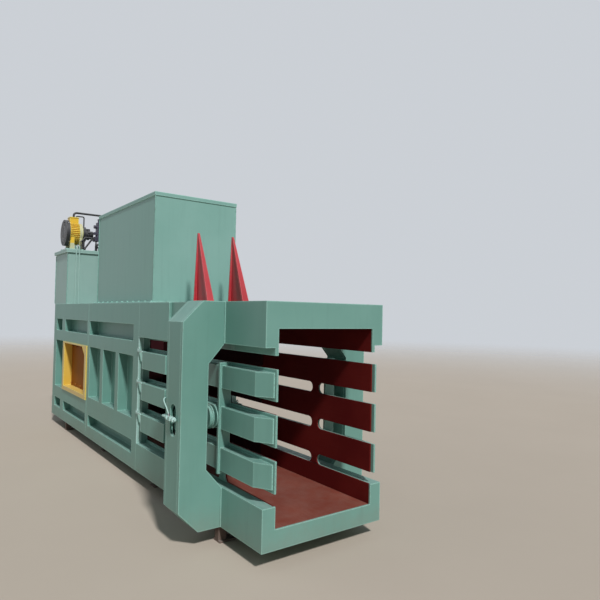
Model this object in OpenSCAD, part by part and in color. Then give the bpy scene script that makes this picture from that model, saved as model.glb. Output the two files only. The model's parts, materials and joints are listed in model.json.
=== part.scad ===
// Horizontal waste baling press with a side squeeze frame, a feed hopper and a roof power pack.
// Lengths are in millimetres. +X runs to the bale outlet, +Z is up, Z = 0 is the ground.
// Inside channel() the origin is the middle of the outlet's sill: X = 0 is the outlet face,
// Z = 0 is the top of the chamber floor, and the press reaches back to negative X.

/* [Channel] */
// Clear width between the wear plates
chamber_w = 750; // [680:5:820]
// Clear height from the floor plate to the roof plate
chamber_h = 1150; // [1120:5:1200]
// Thickness of the red wear plates
liner_t = 10; // [6:1:14]
// Gap between two wear plates that meet at a corner
liner_gap = 2; // [1:1:4]
// Thickness of the plates behind the wear plates
plate_t = 12; // [8:1:16]
// Outer width of the hood, the trough and the squeeze panels
mouth_w = 930; // [890:5:990]
// Outer width over the ribbed side walls
body_w = 970; // [930:5:1030]
// Depth of the box section under the floor
floor_depth = 120; // [100:5:150]
// Depth of the box section over the roof
roof_depth = 160; // [130:5:200]
// Height of the feet
foot_h = 110; // [80:5:160]

/* [Lengths along the press] */
// Length of hood and trough in front of the squeeze frame
mouth_len = 480; // [420:5:560]
// Depth of the squeeze frame
portal_depth = 226; // [200:2:260]
// Length from the squeeze frame back to the panel hinges
throat_len = 624; // [560:4:700]
// Length of the fixed slotted wall
slot_wall_len = 630; // [560:5:700]
// Length of the feed opening
feed_len = 1500; // [1300:10:1600]
// Distance the ram stops short of, and runs past, the edges of the feed opening
run_out = 30; // [20:2:40]
// Thickness of the rear frame plate
rear_t = 40; // [30:2:60]

/* [Tie slots and fingers] */
// Number of fingers on each squeeze panel
fingers = 3; // [3:1:3]
// Height of one finger
finger_h = 184; // [176:2:188]
// Clear height of one tie slot in the wear plates
slot_h = 78; // [70:2:80]
// Height of the trough's side legs above the floor
leg_h = 130; // [120:2:140]
// Depth of the hood's outer legs below the roof plate
hood_leg = 111; // [80:1:120]
// Extra height of the slots through the outer skin, in all
slot_flare = 40; // [20:2:60]
// Length of the fingers in front of the panel's solid band
finger_len = 530; // [480:2:560]
// Length of the solid band
band_len = 140; // [120:2:160]
// Length over which the fingers taper down to the outlet
taper_len = 106; // [90:2:140]
// How far the plates of the fingers stand out of the outlet face
finger_out = 18; // [8:1:30]

/* [Squeeze frame] */
// Gap between a squeeze panel and the column beside it
side_gap = 110; // [95:5:135]
// Width of one column of the squeeze frame
column_w = 180; // [160:5:220]
// Size of its corner chamfers
portal_chamfer = 134; // [100:2:160]
// Height of the chamfers at the corners of its side windows
window_chamfer = 125; // [100:5:150]
// Thickness of its front and rear plates
frame_t = 25; // [20:1:35]
// Thickness of its outer wrapping plate
wrap_t = 20; // [14:1:26]
// Thickness of its inner plate
inner_t = 15; // [10:1:20]
// Width of the access hole in each column
access_w = 90; // [70:2:110]
// Height of the access hole in each column
access_h = 200; // [160:5:240]

/* [Squeeze cylinders and panels] */
// Outer diameter of the squeeze cylinder
squeeze_d = 150; // [130:2:170]
// Diameter of the squeeze rod
squeeze_rod_d = 60; // [50:2:70]
// Diameter of the squeeze rod's head and of the panel's pad
squeeze_head_d = 154; // [130:2:160]
// Radius of the domed face of the rod's head
dome_r = 160; // [140:5:250]
// Height of the pad on the panel
pad_h = 20; // [14:1:24]
// Diameter of the hinge pins
pin_d = 40; // [32:2:44]
// Outer diameter of the hinge knuckles
knuckle_d = 76; // [68:2:84]

/* [Hopper] */
// Height of the hopper above the deck
hopper_h = 965; // [800:5:1200]
// Ledge between the feed opening and the hopper's end walls
hopper_ledge = 57; // [40:1:80]
// Thickness of the hopper's sheet
hopper_t = 8; // [5:1:12]
// Height and width of the hopper's rim angle
rim = 32; // [24:2:50]

/* [Ribs of the side walls] */
// Thickness left at the back of each recess
web_t = 10; // [8:1:14]
// Height of the lower row of recesses
low_row_h = 116; // [90:2:130]
// Foot of the middle row of recesses, above the floor plate
mid_row_z = 307; // [290:1:330]
// Height of the middle row of recesses
mid_row_h = 538; // [500:2:560]
// Foot of the upper row of recesses, above the floor plate
up_row_z = 975; // [940:5:1000]
// Height of the upper row of recesses
up_row_h = 146; // [120:2:160]
// Width of one rib between two tall bays
rib_w = 90; // [60:2:120]
// Width of a post between two recesses
post_w = 96; // [80:2:130]
// Width of the open weld seam between the rear walls and the press walls
seam_w = 6; // [3:1:10]

/* [Side window] */
// Length of the window frame
window_len = 1048; // [900:4:1060]
// Height of the window frame
window_h = 586; // [560:2:600]
// Width of the window frame's lip
lip_w = 70; // [50:2:90]
// How far the lip stands out of the side wall
lip_out = 12; // [6:1:20]

/* [Main cylinder] */
// Height of the main cylinder above the floor plate
main_z = 575; // [540:5:610]
// Outer diameter of the main cylinder
main_d = 246; // [220:2:280]
// Bore of the main cylinder
main_bore = 200; // [180:2:210]
// Diameter of the main piston rod
main_rod_d = 120; // [100:2:140]
// Thickness of the ram's face
face_t = 50; // [40:2:60]
// Length of the rod socket behind the ram's face
boss_len = 90; // [80:2:110]
// Thickness of the main piston
main_piston = 60; // [50:2:80]
// Length of the gland in front of the barrel
gland_len = 60; // [50:2:70]
// Length of the gland's spigot inside the barrel
spigot_len = 20; // [14:1:26]
// Free travel left at the front of the barrel
stroke_spare = 10; // [6:1:20]
// Thickness of the barrel's rear cap
cap_t = 40; // [30:1:50]

/* [Power pack] */
// Length of the oil tank along the press
tank_len = 620; // [560:5:700]
// How far the tank reaches back past the rear frame plate
tank_back = 90; // [60:5:130]
// Width of the oil tank
tank_w = 940; // [860:5:960]
// Height of the oil tank with its lid
tank_h = 688; // [580:2:740]
// Diameter of the motor over its cooling fins
motor_d = 280; // [260:5:310]
// Length of the motor body with its end shield
motor_len = 162; // [150:2:200]
// Diameter of the motor's fan cowl
cowl_d = 330; // [320:5:350]
// Length of the motor's fan cowl
cowl_len = 38; // [36:1:50]

/* [Red horns] */
// Distance between the two horn brackets
horn_pitch = 324; // [280:4:400]
// Height of the horns above the deck
horn_h = 585; // [450:5:650]
// Length of the horns at the deck
horn_len = 264; // [230:2:320]

/* [Clearances] */
// Clearance all round between the ram and the wear plates
ram_gap = 4; // [2:1:8]
// Radial clearance of the hinge pins and shafts
pin_gap = 0.05; // [0.02:0.01:0.1]
// Gap between faces of neighbouring bodies that slide or press
slip = 0.3; // [0.2:0.1:1]
// Vertical gap between the squeeze panels and the fixed walls
panel_gap = 4; // [3:1:8]
// Gap at the hinge line between the panel and the fixed wall
hinge_gap = 10; // [8:1:16]
// Radial gap between the knuckles and the bars they turn in
knuckle_gap = 6; // [4:1:10]

/* [Hidden] */

$fn = 48;
overlap = 1;

green = [0.36, 0.55, 0.49];
red = [0.36, 0.07, 0.07];
floor_red = [0.45, 0.24, 0.20];
horn_red = [0.62, 0.09, 0.12];
yellow = [0.90, 0.70, 0.16];
steel = [0.66, 0.68, 0.70];
black = [0.08, 0.08, 0.09];

li = chamber_w / 2;
lo = li + liner_t;
pi_y = lo + plate_t;
mo = mouth_w / 2;
bo = body_w / 2;

x_pf = -mouth_len;
x_pb = x_pf - portal_depth;
x_mid = (x_pf + x_pb) / 2;
x_hinge = x_pb - throat_len;
x_wire = x_hinge - slot_wall_len;
x_feed = x_wire + 10;
x_feed_b = x_feed - feed_len;
ram_stroke = feed_len + 2 * run_out;
ram_len = feed_len + run_out;
x_ram = x_feed_b - run_out;
x_ram_b = x_ram - ram_len;
x_rear_f = x_ram_b - run_out;
x_rear = x_rear_f - rear_t;
x_gland = x_ram - face_t - boss_len - run_out;
x_tail = x_gland - gland_len - spigot_len - stroke_spare - ram_stroke - main_piston - cap_t;
x_seam = x_feed_b - 40;

z_deck = chamber_h + roof_depth;
z_base = -floor_depth;
hood_z = chamber_h - hood_leg;
pitch = finger_h + slot_h;
lining_z = leg_h + fingers * pitch + slot_h;
guide_len = 96;

ww = mo + side_gap;
pw = ww + column_w;
barrel_axis_z = leg_h + slot_h + pitch + finger_h / 2;

hinge_y = mo - 24;
panel_y = mo;
band_x0 = -finger_len - band_len;
pad_y = panel_y + pad_h;

x_mouth = (-x_tail - finger_out) / 2;
z_floor = foot_h + floor_depth;

function slot_z(i) = leg_h + i * pitch;
function finger_z(i) = slot_z(i) + slot_h;

module channel() { translate([x_mouth, 0, z_floor]) children(); }

// A block between two corners, given as [low, high] pairs
module block(x, y, z) {
  translate([x[0], y[0], z[0]]) cube([x[1] - x[0], y[1] - y[0], z[1] - z[0]]);
}

// The same block on the left side (-Y, side = -1) or the right side (+Y, side = 1)
module side_block(side, x, y, z) {
  block(x, side > 0 ? y : [-y[1], -y[0]], z);
}

// A shape drawn in the Y-Z plane and pushed along X from x0 to x1
module along_x(x0, x1) {
  translate([x0, 0, 0]) rotate([90, 0, 90]) linear_extrude(x1 - x0) children();
}

// A shape drawn in the X-Z plane and pushed along Y from y0 to y1
module along_y(y0, y1) {
  translate([0, y1, 0]) rotate([90, 0, 0]) linear_extrude(y1 - y0) children();
}

module rod_x(x0, x1, y, z, d) { translate([x0, y, z]) rotate([0, 90, 0]) cylinder(d = d, h = x1 - x0); }
module rod_y(x, y0, y1, z, d) { translate([x, y1, z]) rotate([90, 0, 0]) cylinder(d = d, h = y1 - y0); }
module rod_z(x, y, z0, z1, d) { translate([x, y, z0]) cylinder(d = d, h = z1 - z0); }

module bolt_head(d) { cylinder(d = 1.8 * d, h = 0.65 * d, $fn = 6); }

// A round tube or solid line through square corners, with a true quarter bend at each corner
function unit(v) = v / norm(v);
module pipe_run(points, d, bend) {
  last = len(points) - 1;
  for (i = [0:last - 1]) {
    step = unit(points[i + 1] - points[i]);
    start = points[i] + (i > 0 ? bend : 0) * step;
    stop = points[i + 1] - (i < last - 1 ? bend : 0) * step;
    pipe_leg(start, stop, d);
  }
  for (i = [1:last - 1])
    elbow(points[i], unit(points[i] - points[i - 1]), unit(points[i + 1] - points[i]), d, bend);
}
module pipe_leg(start, stop, d) {
  v = stop - start;
  turn = atan2(v[1], v[0]);
  tilt = acos(v[2] / norm(v));
  translate(start) rotate([0, tilt, turn]) cylinder(d = d, h = norm(v), $fn = 32);
}
module elbow(corner, came, goes, d, bend) {
  x = -goes;
  y = came;
  z = cross(x, y);
  o = corner - bend * came + bend * goes;
  multmatrix([[x[0], y[0], z[0], o[0]], [x[1], y[1], z[1], o[1]], [x[2], y[2], z[2], o[2]], [0, 0, 0, 1]])
    rotate_extrude(angle = 90) translate([bend, 0]) circle(d = d, $fn = 32);
}

// A line through slanted corners, with a round fitting at each inner corner
module hose(points, d) {
  last = len(points) - 1;
  for (i = [0:last - 1]) pipe_leg(points[i], points[i + 1], d);
  for (i = [1:last - 1]) translate(points[i]) sphere(d = 1.3 * d, $fn = 24);
}

// Floor frame between the side walls: deck plate, two long channels and cross members
long_y = lo - 60;
cross_n = 9;
module floor_frame() color(green) channel() difference() {
  union() {
    block([x_rear_f, x_hinge], [-lo, lo], [-liner_t - plate_t, -liner_t]);
    for (s = [-1, 1]) side_block(s, [x_rear_f, x_hinge], [long_y, lo], [z_base, -liner_t]);
    for (i = [0:cross_n - 1])
      translate([x_rear_f + i * (x_hinge - x_rear_f - plate_t) / (cross_n - 1), 0, 0])
        block([0, plate_t], [-lo, lo], [z_base, -liner_t]);
  }
  for (s = [-1, 1])
    side_block(s, [x_rear_f + plate_t, x_hinge - plate_t], [long_y - overlap, lo - plate_t],
      [z_base + plate_t, -liner_t - plate_t]);
}

// Eight feet: a square post on a base plate with an anchor hole; the middle ones stand further in
foot_set = [60, 160, 300, 640];
foot_x = [x_mid + foot_set[0], x_wire + foot_set[1], x_seam + foot_set[2], x_rear + foot_set[3]];
foot_y = mo - 4;
foot_w = 52;
foot_plate_t = 12;
foot_plate_w = 84;
anchor_d = 18;
anchor_y = foot_y - foot_w / 2 - 70;
anchor_rim = 28;
module foot(x, s, inner) difference() {
  post = inner ? [anchor_y - anchor_rim - foot_w, anchor_y - anchor_rim] : [foot_y - foot_w, foot_y];
  plate = inner ? [post[0], anchor_y + anchor_rim] : [anchor_y - anchor_rim, foot_y];
  plate_x = [x - foot_plate_w / 2, x + foot_plate_w / 2];
  union() {
    side_block(s, [x - foot_w / 2, x + foot_w / 2], post, [0, foot_h]);
    side_block(s, plate_x, plate, [0, foot_plate_t]);
    if (inner) side_block(s, plate_x, [post[0], lo], [foot_h - foot_plate_t, foot_h]);
    else side_block(s, [x - plate_t / 2, x + plate_t / 2], [anchor_y + anchor_rim - 2, post[0] + overlap],
      [0, foot_h]);
  }
  rod_z(x, s * anchor_y, -overlap, foot_plate_t + overlap, anchor_d);
}
module feet() color(horn_red) translate([x_mouth, 0, 0])
  for (i = [0:3], s = [-1, 1]) foot(foot_x[i], s, i == 1 || i == 2);

// Rear frame plate with the hole for the main cylinder, a stiffening cross and a ring of bolts
flange_d = 400;
flange_bolts = 8;
module rear_frame() color(green) channel() difference() {
  union() {
    block([x_rear, x_rear_f], [-lo, lo], [z_base, z_deck]);
    for (s = [-1, 1]) {
      side_block(s, [x_rear - 60, x_rear + overlap], [150, 170], [z_base, z_deck]);
      translate([0, 0, main_z + s * 260]) block([x_rear - 60, x_rear + overlap], [-lo, lo], [-10, 10]);
    }
  }
  rod_x(x_rear - 80, x_rear_f + overlap, 0, main_z, main_d + 2 * slip);
  rod_x(x_rear - 80, x_rear, 0, main_z, flange_d + 10);
}

// Ribbed side wall: a slab with three rows of recesses; list rows as [x from, x to]
module ribbed_wall(side, x0, x1, low, mid, up, foot_z, top_z) {
  difference() {
    side_block(side, [x0, x1], [lo, bo], [z_base, z_deck]);
    for (r = low) side_block(side, r, [lo + web_t, bo + overlap], [2, 2 + low_row_h]);
    for (r = mid) side_block(side, r, [lo + web_t, bo + overlap], [foot_z, top_z]);
    for (r = up) side_block(side, r, [lo + web_t, bo + overlap], [up_row_z, up_row_z + up_row_h]);
  }
}
x_end_post = x_rear + 130;
narrow_len = 296;
window_x1 = x_seam - 1;
window_x0 = window_x1 - window_len;
window_z = mid_row_z + mid_row_h + 3 - window_h;
rear_rows = [[x_end_post, x_end_post + narrow_len], [window_x0 + 36, x_seam - post_w / 2]];
module rear_wall(side) color(green) channel()
  ribbed_wall(side, x_rear, x_seam - seam_w / 2, rear_rows,
    [[x_end_post, window_x0 - 60], [window_x0, window_x1 - 18]], rear_rows,
    side < 0 ? window_z : mid_row_z, mid_row_z + mid_row_h + (side < 0 ? 3 : 0));
module rear_wall_left() rear_wall(-1);
module rear_wall_right() rear_wall(1);

// Front part of the side wall, with three tall bays that share its length
bays = 3;
bay_x0 = x_seam + 71;
bay_x1 = x_wire - 124;
bay_pitch = (bay_x1 - bay_x0 + rib_w) / bays;
module press_wall(side) color(green) channel()
  ribbed_wall(side, x_seam + seam_w / 2, x_wire, [[bay_x0, bay_x1 + 10]],
    [for (i = [0:bays - 1]) [bay_x0 + i * bay_pitch, bay_x0 + (i + 1) * bay_pitch - rib_w]],
    [[x_seam + post_w / 2, bay_x1 - 10]], mid_row_z, mid_row_z + mid_row_h);
module press_wall_left() press_wall(-1);
module press_wall_right() press_wall(1);

// Fixed slotted wall: top and bottom chords, three bars, and the hinge lugs for the panel
lug_h = 28;
knuckle_h = 76;
skin_h = finger_h - slot_flare;
module slot_wall(side) color(green) channel() {
  side_block(side, [x_wire, x_hinge], [lo, bo], [z_base, leg_h - slot_flare / 2]);
  side_block(side, [x_wire, x_hinge], [lo, pi_y], [z_base, leg_h]);
  side_block(side, [x_wire, x_hinge], [lo, bo], [lining_z + slot_flare / 2, z_deck]);
  side_block(side, [x_wire, x_hinge], [lo, pi_y], [lining_z, z_deck]);
  for (i = [0:fingers - 1]) slot_bar(side, finger_z(i));
}
module slot_bar(side, z) {
  mid = z + finger_h / 2;
  x1 = x_hinge - knuckle_d / 2 - knuckle_gap;
  difference() {
    union() {
      side_block(side, [x_wire, x_hinge - hinge_gap / 2], [lo, pi_y], [z, z + finger_h]);
      side_block(side, [x_wire + guide_len, x1], [pi_y - overlap, bo], [mid - skin_h / 2, mid + skin_h / 2]);
      for (s = [-1, 1]) hinge_lug(side, mid + s * (knuckle_h / 2 + slip + lug_h / 2), x1 - overlap);
    }
    rod_z(x_hinge, side * hinge_y, z - overlap, z + finger_h + overlap, pin_d + 2 * pin_gap);
  }
}
module hinge_lug(side, z, x0) {
  side_block(side, [x0, x_hinge], [hinge_y - knuckle_d / 2 + 10, hinge_y + knuckle_d / 2 - 10],
    [z - lug_h / 2, z + lug_h / 2]);
  rod_z(x_hinge, side * hinge_y, z - lug_h / 2, z + lug_h / 2, knuckle_d);
}
module slot_wall_left() slot_wall(-1);
module slot_wall_right() slot_wall(1);

// Wire guide: an upright channel at the rear ends of the slots, with a hook at the foot of each
guide_t = 6;
guide_depth = 44;
hook_out = 10;
hook_wire = 8;
curl_r = 13;
module wire_guide(side) color(green) channel() {
  z0 = leg_h - slot_flare / 2;
  z1 = lining_z + slot_flare / 2;
  x0 = x_wire + slip;
  x1 = x_wire + guide_len - slip;
  difference() {
    union() {
      side_block(side, [x0, x1], [bo - guide_depth, bo - guide_depth + guide_t], [z0, z1]);
      for (x = [x0, x1 - guide_t]) side_block(side, [x, x + guide_t], [bo - guide_depth, bo], [z0, z1]);
    }
    for (i = [0:fingers]) side_block(side, [x0 + guide_t, x1 + overlap], [lo, bo + overlap],
      [slot_z(i) - slot_flare / 2 + overlap, slot_z(i) + slot_h + slot_flare / 2 - (i < fingers ?
        0 : overlap)]);
  }
  for (i = [1:fingers]) {
    z = slot_z(i) - slot_flare / 2;
    side_block(side, [x0, x1 + hook_out], [bo, bo + hook_out], [z - guide_t, z + guide_t]);
    side_block(side, [x0, x0 + guide_t], [bo - overlap, bo + hook_out], [z - guide_t, z + 3 * guide_t]);
    side_block(side, [x1 - guide_t, x1], [bo - overlap, bo + hook_out], [z - guide_t, z + guide_t]);
    translate([x0 + curl_r + hook_wire, side * (bo + hook_out / 2), z + guide_t + curl_r]) rotate([90, 0, 0])
      rotate_extrude() translate([curl_r, 0]) circle(d = hook_wire, $fn = 16);
  }
}
module wire_guide_left() wire_guide(-1);
module wire_guide_right() wire_guide(1);

// Roof boxes between the side walls, behind and in front of the feed opening
module roof_box(x0, x1) {
  difference() {
    block([x0, x1], [-lo, lo], [chamber_h + liner_t, z_deck]);
    block([x0 + plate_t, x1 - plate_t], [-lo - overlap, lo + overlap],
      [chamber_h + liner_t + plate_t, z_deck - plate_t]);
  }
  for (i = [1:3]) translate([x0 + i * (x1 - x0) / 4, 0, 0])
    block([-plate_t / 2, plate_t / 2], [-lo, lo], [chamber_h + liner_t, z_deck]);
}
module rear_deck() color(green) channel() roof_box(x_rear_f, x_feed_b);
module front_deck() color(green) channel() roof_box(x_feed, x_hinge);

// Hopper: a straight sheet shaft over the feed opening, with a rim angle and a foot flange
hopper_x0 = x_feed_b - hopper_ledge;
hopper_x1 = x_feed + hopper_ledge;
foot_flange = 40;
hopper_y = lo + liner_gap + hopper_t;
module hopper() color(green) channel() difference() {
  union() {
    block([hopper_x0, hopper_x1], [-hopper_y, hopper_y], [z_deck, z_deck + hopper_h]);
    block([hopper_x0 - foot_flange, hopper_x1 + foot_flange], [-hopper_y - foot_flange,
      hopper_y + foot_flange],
      [z_deck, z_deck + hopper_t]);
    block([hopper_x0 - rim / 4, hopper_x1 + rim / 4], [-hopper_y - rim / 4, hopper_y + rim / 4],
      [z_deck + hopper_h - rim, z_deck + hopper_h]);
  }
  block([hopper_x0 + hopper_t, hopper_x1 - hopper_t], [-hopper_y + hopper_t, hopper_y - hopper_t],
    [z_deck - overlap, z_deck + hopper_h + overlap]);
}

// Cross-sections of the trough and the hood, drawn in Y-Z
module trough_section(inner, top) {
  polygon([[-mo, z_base], [mo, z_base], [mo, leg_h], [inner, leg_h], [inner, top], [-inner, top],
    [-inner, leg_h], [-mo, leg_h]]);
}
module hood_section(inner, low) {
  difference() {
    translate([-mo, hood_z]) square([mouth_w, z_deck - hood_z]);
    translate([-inner, hood_z - overlap]) square([2 * inner, low - hood_z + overlap]);
  }
  for (s = [-1, 1]) translate([s > 0 ? inner : -pi_y, lining_z]) square([pi_y - inner, z_deck - lining_z]);
}
module throat_trough() color(green) channel() along_x(x_hinge, x_pb) trough_section(lo, -liner_t);
module throat_hood() color(green) channel() along_x(x_hinge, x_pb) hood_section(lo, chamber_h + liner_t);
module mouth_trough() color(green) channel() {
  along_x(x_pf, 0) trough_section(lo, -liner_t);
  along_x(-plate_t, 0) trough_section(li, 0);
}
module mouth_hood() color(green) channel() {
  along_x(x_pf, 0) hood_section(lo, chamber_h + liner_t);
  along_x(-plate_t, 0) hood_section(li, chamber_h);
}

// Squeeze frame: outline and opening as point lists, so that the plates and the shell agree
function portal_outline(g) = [
  [-pw + g, z_base + portal_chamfer], [-pw + portal_chamfer, z_base + g],
  [pw - portal_chamfer, z_base + g], [pw - g, z_base + portal_chamfer],
  [pw - g, z_deck - portal_chamfer], [pw - portal_chamfer, z_deck - g],
  [-pw + portal_chamfer, z_deck - g], [-pw + g, z_deck - portal_chamfer]];
function half_opening(g) = [
  [lo + g, -liner_t - g], [lo + g, leg_h - g], [mo + g / 2, leg_h - g],
    [ww + g, leg_h + window_chamfer - g / 2],
  [ww + g, hood_z - window_chamfer + g / 2], [mo + g / 2, hood_z + g], [lo + g, hood_z + g],
  [lo + g, chamber_h + liner_t + g]];
function opening(g) = let (h = half_opening(g), n = len(h))
  concat(h, [for (i = [0:n - 1]) [-h[n - 1 - i][0], h[n - 1 - i][1]]]);
module portal_plate(x0) along_x(x0, x0 + frame_t) difference() {
  polygon(portal_outline(0));
  polygon(opening(0));
}
module lining_strips(x0, x1) {
  for (s = [-1, 1]) side_block(s, [x0, x1], [lo, pi_y], [lining_z, hood_z + overlap]);
}
module portal_front_plate() color(green) channel() {
  portal_plate(x_pf - frame_t);
  lining_strips(x_pf - frame_t, x_pf);
}
module portal_rear_plate() color(green) channel() {
  portal_plate(x_pb);
  lining_strips(x_pb, x_pb + frame_t);
}
module portal_shell() color(green) channel() {
  x0 = x_pb + frame_t;
  x1 = x_pf - frame_t;
  difference() {
    union() {
      along_x(x0, x1) difference() {
        polygon(portal_outline(0));
        polygon(portal_outline(wrap_t));
      }
      along_x(x0, x1) difference() {
        polygon(opening(inner_t));
        polygon(opening(0));
      }
      for (s = [-1, 1]) {
        side_block(s, [x0, x1], [mo, mo + inner_t], [z_base + overlap, leg_h]);
        side_block(s, [x0, x1], [mo, mo + inner_t], [hood_z, z_deck - overlap]);
      }
      lining_strips(x0, x1);
    }
    for (s = [-1, 1]) {
      translate([x_mid, s * (pw + overlap), barrel_axis_z]) rotate([90, 0, 0])
        translate([0, 0, s > 0 ? 0 : -wrap_t - 2 * overlap]) slot_hole(access_w, access_h,
          wrap_t + 2 * overlap);
      rod_y(x_mid, s > 0 ? ww - overlap : -ww - inner_t - overlap,
        s > 0 ? ww + inner_t + overlap : -ww + overlap,
        barrel_axis_z, nose_d + 2 * pin_gap);
    }
  }
}
// An upright slot with round ends, cut along Z from 0 to h
module slot_hole(w, tall, h) {
  translate([-w / 2, -(tall - w) / 2, 0]) cube([w, tall - w, h]);
  for (s = [-1, 1]) translate([0, s * (tall - w) / 2, 0]) cylinder(d = w, h = h);
}

// Wear plates
x_face = -plate_t - slip;
module floor_liner() color(floor_red) channel()
  block([x_rear_f + slip, x_face], [-li + liner_gap, li - liner_gap], [-liner_t, 0]);
module roof_liner() color(red) channel() {
  block([x_feed, x_face], [-lo, lo], [chamber_h, chamber_h + liner_t]);
  for (s = [-1, 1]) side_block(s, [x_hinge, x_face], [li, lo], [lining_z, chamber_h]);
}
module trough_liners() color(red) channel()
  for (s = [-1, 1]) side_block(s, [x_hinge, x_face], [li, lo], [-liner_t, leg_h]);
module wall_liner(side) color(red) channel() {
  x1 = x_hinge - hinge_gap / 2;
  side_block(side, [x_seam, x_wire], [li, lo], [-liner_t, chamber_h]);
  side_block(side, [x_wire - overlap, x_hinge - slip], [li, lo], [-liner_t, leg_h]);
  side_block(side, [x_wire - overlap, x_hinge - slip], [li, lo], [lining_z, chamber_h]);
  for (i = [0:fingers - 1])
    side_block(side, [x_wire - overlap, x1], [li, lo], [finger_z(i), finger_z(i) + finger_h]);
}
module wall_liner_left() wall_liner(-1);
module wall_liner_right() wall_liner(1);

// Fixed shear blade at the front edge of the feed opening
blade_w = 60;
blade_h = 24;
module shear_blade() color(steel) channel() difference() {
  block([x_feed - blade_w, x_feed - slip], [-li, li], [chamber_h, chamber_h + blade_h]);
  for (i = [0:5])
    rod_z(x_feed - blade_w / 2, -li + 75 + i * (chamber_w - 150) / 5, chamber_h + 10,
      chamber_h + blade_h + overlap, 20);
}

// Squeeze panel: hinge knuckles, three strips, a solid band, three tapered fingers, flange and pad
strip_x0 = x_hinge + knuckle_d / 2 + knuckle_gap;
flange_x = -finger_len + 4;
flange_t = 20;
flange_out = 16;
tip_t = 6;
module finger_outline() {
  polygon([[strip_x0, pi_y - overlap], [0, pi_y - overlap], [0, pi_y + tip_t], [-taper_len, panel_y],
    [strip_x0, panel_y]]);
}
module panel_finger(side, z) {
  mid = z + finger_h / 2;
  side_block(side, [x_hinge + hinge_gap / 2, finger_out], [lo, pi_y], [z, z + finger_h]);
  translate([0, 0, mid - skin_h / 2]) linear_extrude(skin_h) scale([1, side, 1]) finger_outline();
  side_block(side, [x_hinge, strip_x0 + overlap], [hinge_y - knuckle_d / 2 + 10,
    hinge_y + knuckle_d / 2 - 14],
    [mid - knuckle_h / 2, mid + knuckle_h / 2]);
  rod_z(x_hinge, side * hinge_y, mid - knuckle_h / 2, mid + knuckle_h / 2, knuckle_d);
}
module squeeze_panel(side) color(green) channel() difference() {
  union() {
    for (i = [0:fingers - 1]) panel_finger(side, finger_z(i));
    side_block(side, [band_x0, -finger_len], [lo, pi_y], [leg_h + panel_gap, lining_z - slot_h]);
    side_block(side, [flange_x, flange_x + flange_t], [pi_y - overlap, panel_y + flange_out],
      [finger_z(0), finger_z(fingers - 1) + finger_h]);
    translate([x_mid, side * panel_y, barrel_axis_z]) rotate([side > 0 ? -90 : 90, 0, 0])
      translate([0, 0, -overlap]) cylinder(d = squeeze_head_d, h = pad_h + overlap);
  }
  for (i = [0:fingers - 1])
    rod_z(x_hinge, side * hinge_y, finger_z(i), finger_z(i) + finger_h, pin_d + 2 * pin_gap);
  for (i = [0:fingers - 1]) for (x = [band_x0, -finger_len]) panel_slot_end(side, x, slot_z(i));
}
// Rounds the ends of the slots where they meet the band
module panel_slot_end(side, x, z) {
  y0 = side > 0 ? lo - overlap : -pi_y - overlap;
  difference() {
    rod_y(x, y0, y0 + plate_t + 2 * overlap, z + slot_h / 2, slot_h);
    side_block(side, [band_x0 + slot_h / 2 + overlap, -finger_len - slot_h / 2 - overlap],
      [lo - 2 * overlap, pi_y + 2 * overlap], [z, z + slot_h]);
  }
}
module squeeze_panel_left() squeeze_panel(-1);
module squeeze_panel_right() squeeze_panel(1);

liner_back = 8;
module panel_liner(side) color(red) channel() {
  difference() {
    union() {
      for (i = [0:fingers - 1])
        side_block(side, [x_hinge + hinge_gap / 2, -liner_back], [li, lo],
          [finger_z(i), finger_z(i) + finger_h]);
      side_block(side, [band_x0, -finger_len], [li, lo], [leg_h + panel_gap, lining_z - slot_h]);
    }
    for (i = [0:fingers - 1]) for (x = [band_x0, -finger_len])
      rod_y(x, side > 0 ? li - overlap : -lo - overlap, side > 0 ? lo + overlap : -li + overlap,
        slot_z(i) + slot_h / 2, slot_h);
  }
}
module panel_liner_left() panel_liner(-1);
module panel_liner_right() panel_liner(1);

// Hinge pins: one with a flat head in each bar
pin_head_h = 8;
module hinge_pins(side) color(steel) channel()
  for (i = [0:fingers - 1]) {
    mid = finger_z(i) + finger_h / 2;
    half = knuckle_h / 2 + slip + lug_h;
    rod_z(x_hinge, side * hinge_y, mid - half, mid + half + overlap, pin_d);
    rod_z(x_hinge, side * hinge_y, mid + half, mid + half + pin_head_h, pin_d + 16);
  }
module hinge_pins_left() hinge_pins(-1);
module hinge_pins_right() hinge_pins(1);

// Squeeze cylinder, bolted to the inside of the column, with its nose through the inner plate
nose_d = 100;
squeeze_len = pw - wrap_t - 10 - ww - inner_t;
piston_t = 28;
module squeeze_cylinder(side) color(green) channel() scale([1, side, 1]) difference() {
  union() {
    rod_y(x_mid, ww + inner_t, ww + inner_t + squeeze_len, barrel_axis_z, squeeze_d);
    rod_y(x_mid, ww - 14, ww + inner_t + overlap, barrel_axis_z, nose_d);
    block([x_mid - 18, x_mid + 18], [ww + inner_t + squeeze_len - 40, ww + inner_t + squeeze_len],
      [barrel_axis_z, barrel_axis_z + squeeze_d / 2 + 8]);
  }
  rod_y(x_mid, ww + inner_t + 16, ww + inner_t + squeeze_len - 14, barrel_axis_z, squeeze_d - 36);
  rod_y(x_mid, ww - 20, ww + inner_t + 20, barrel_axis_z, squeeze_rod_d + 2 * pin_gap);
}
module squeeze_cylinder_left() squeeze_cylinder(-1);
module squeeze_cylinder_right() squeeze_cylinder(1);

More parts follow.
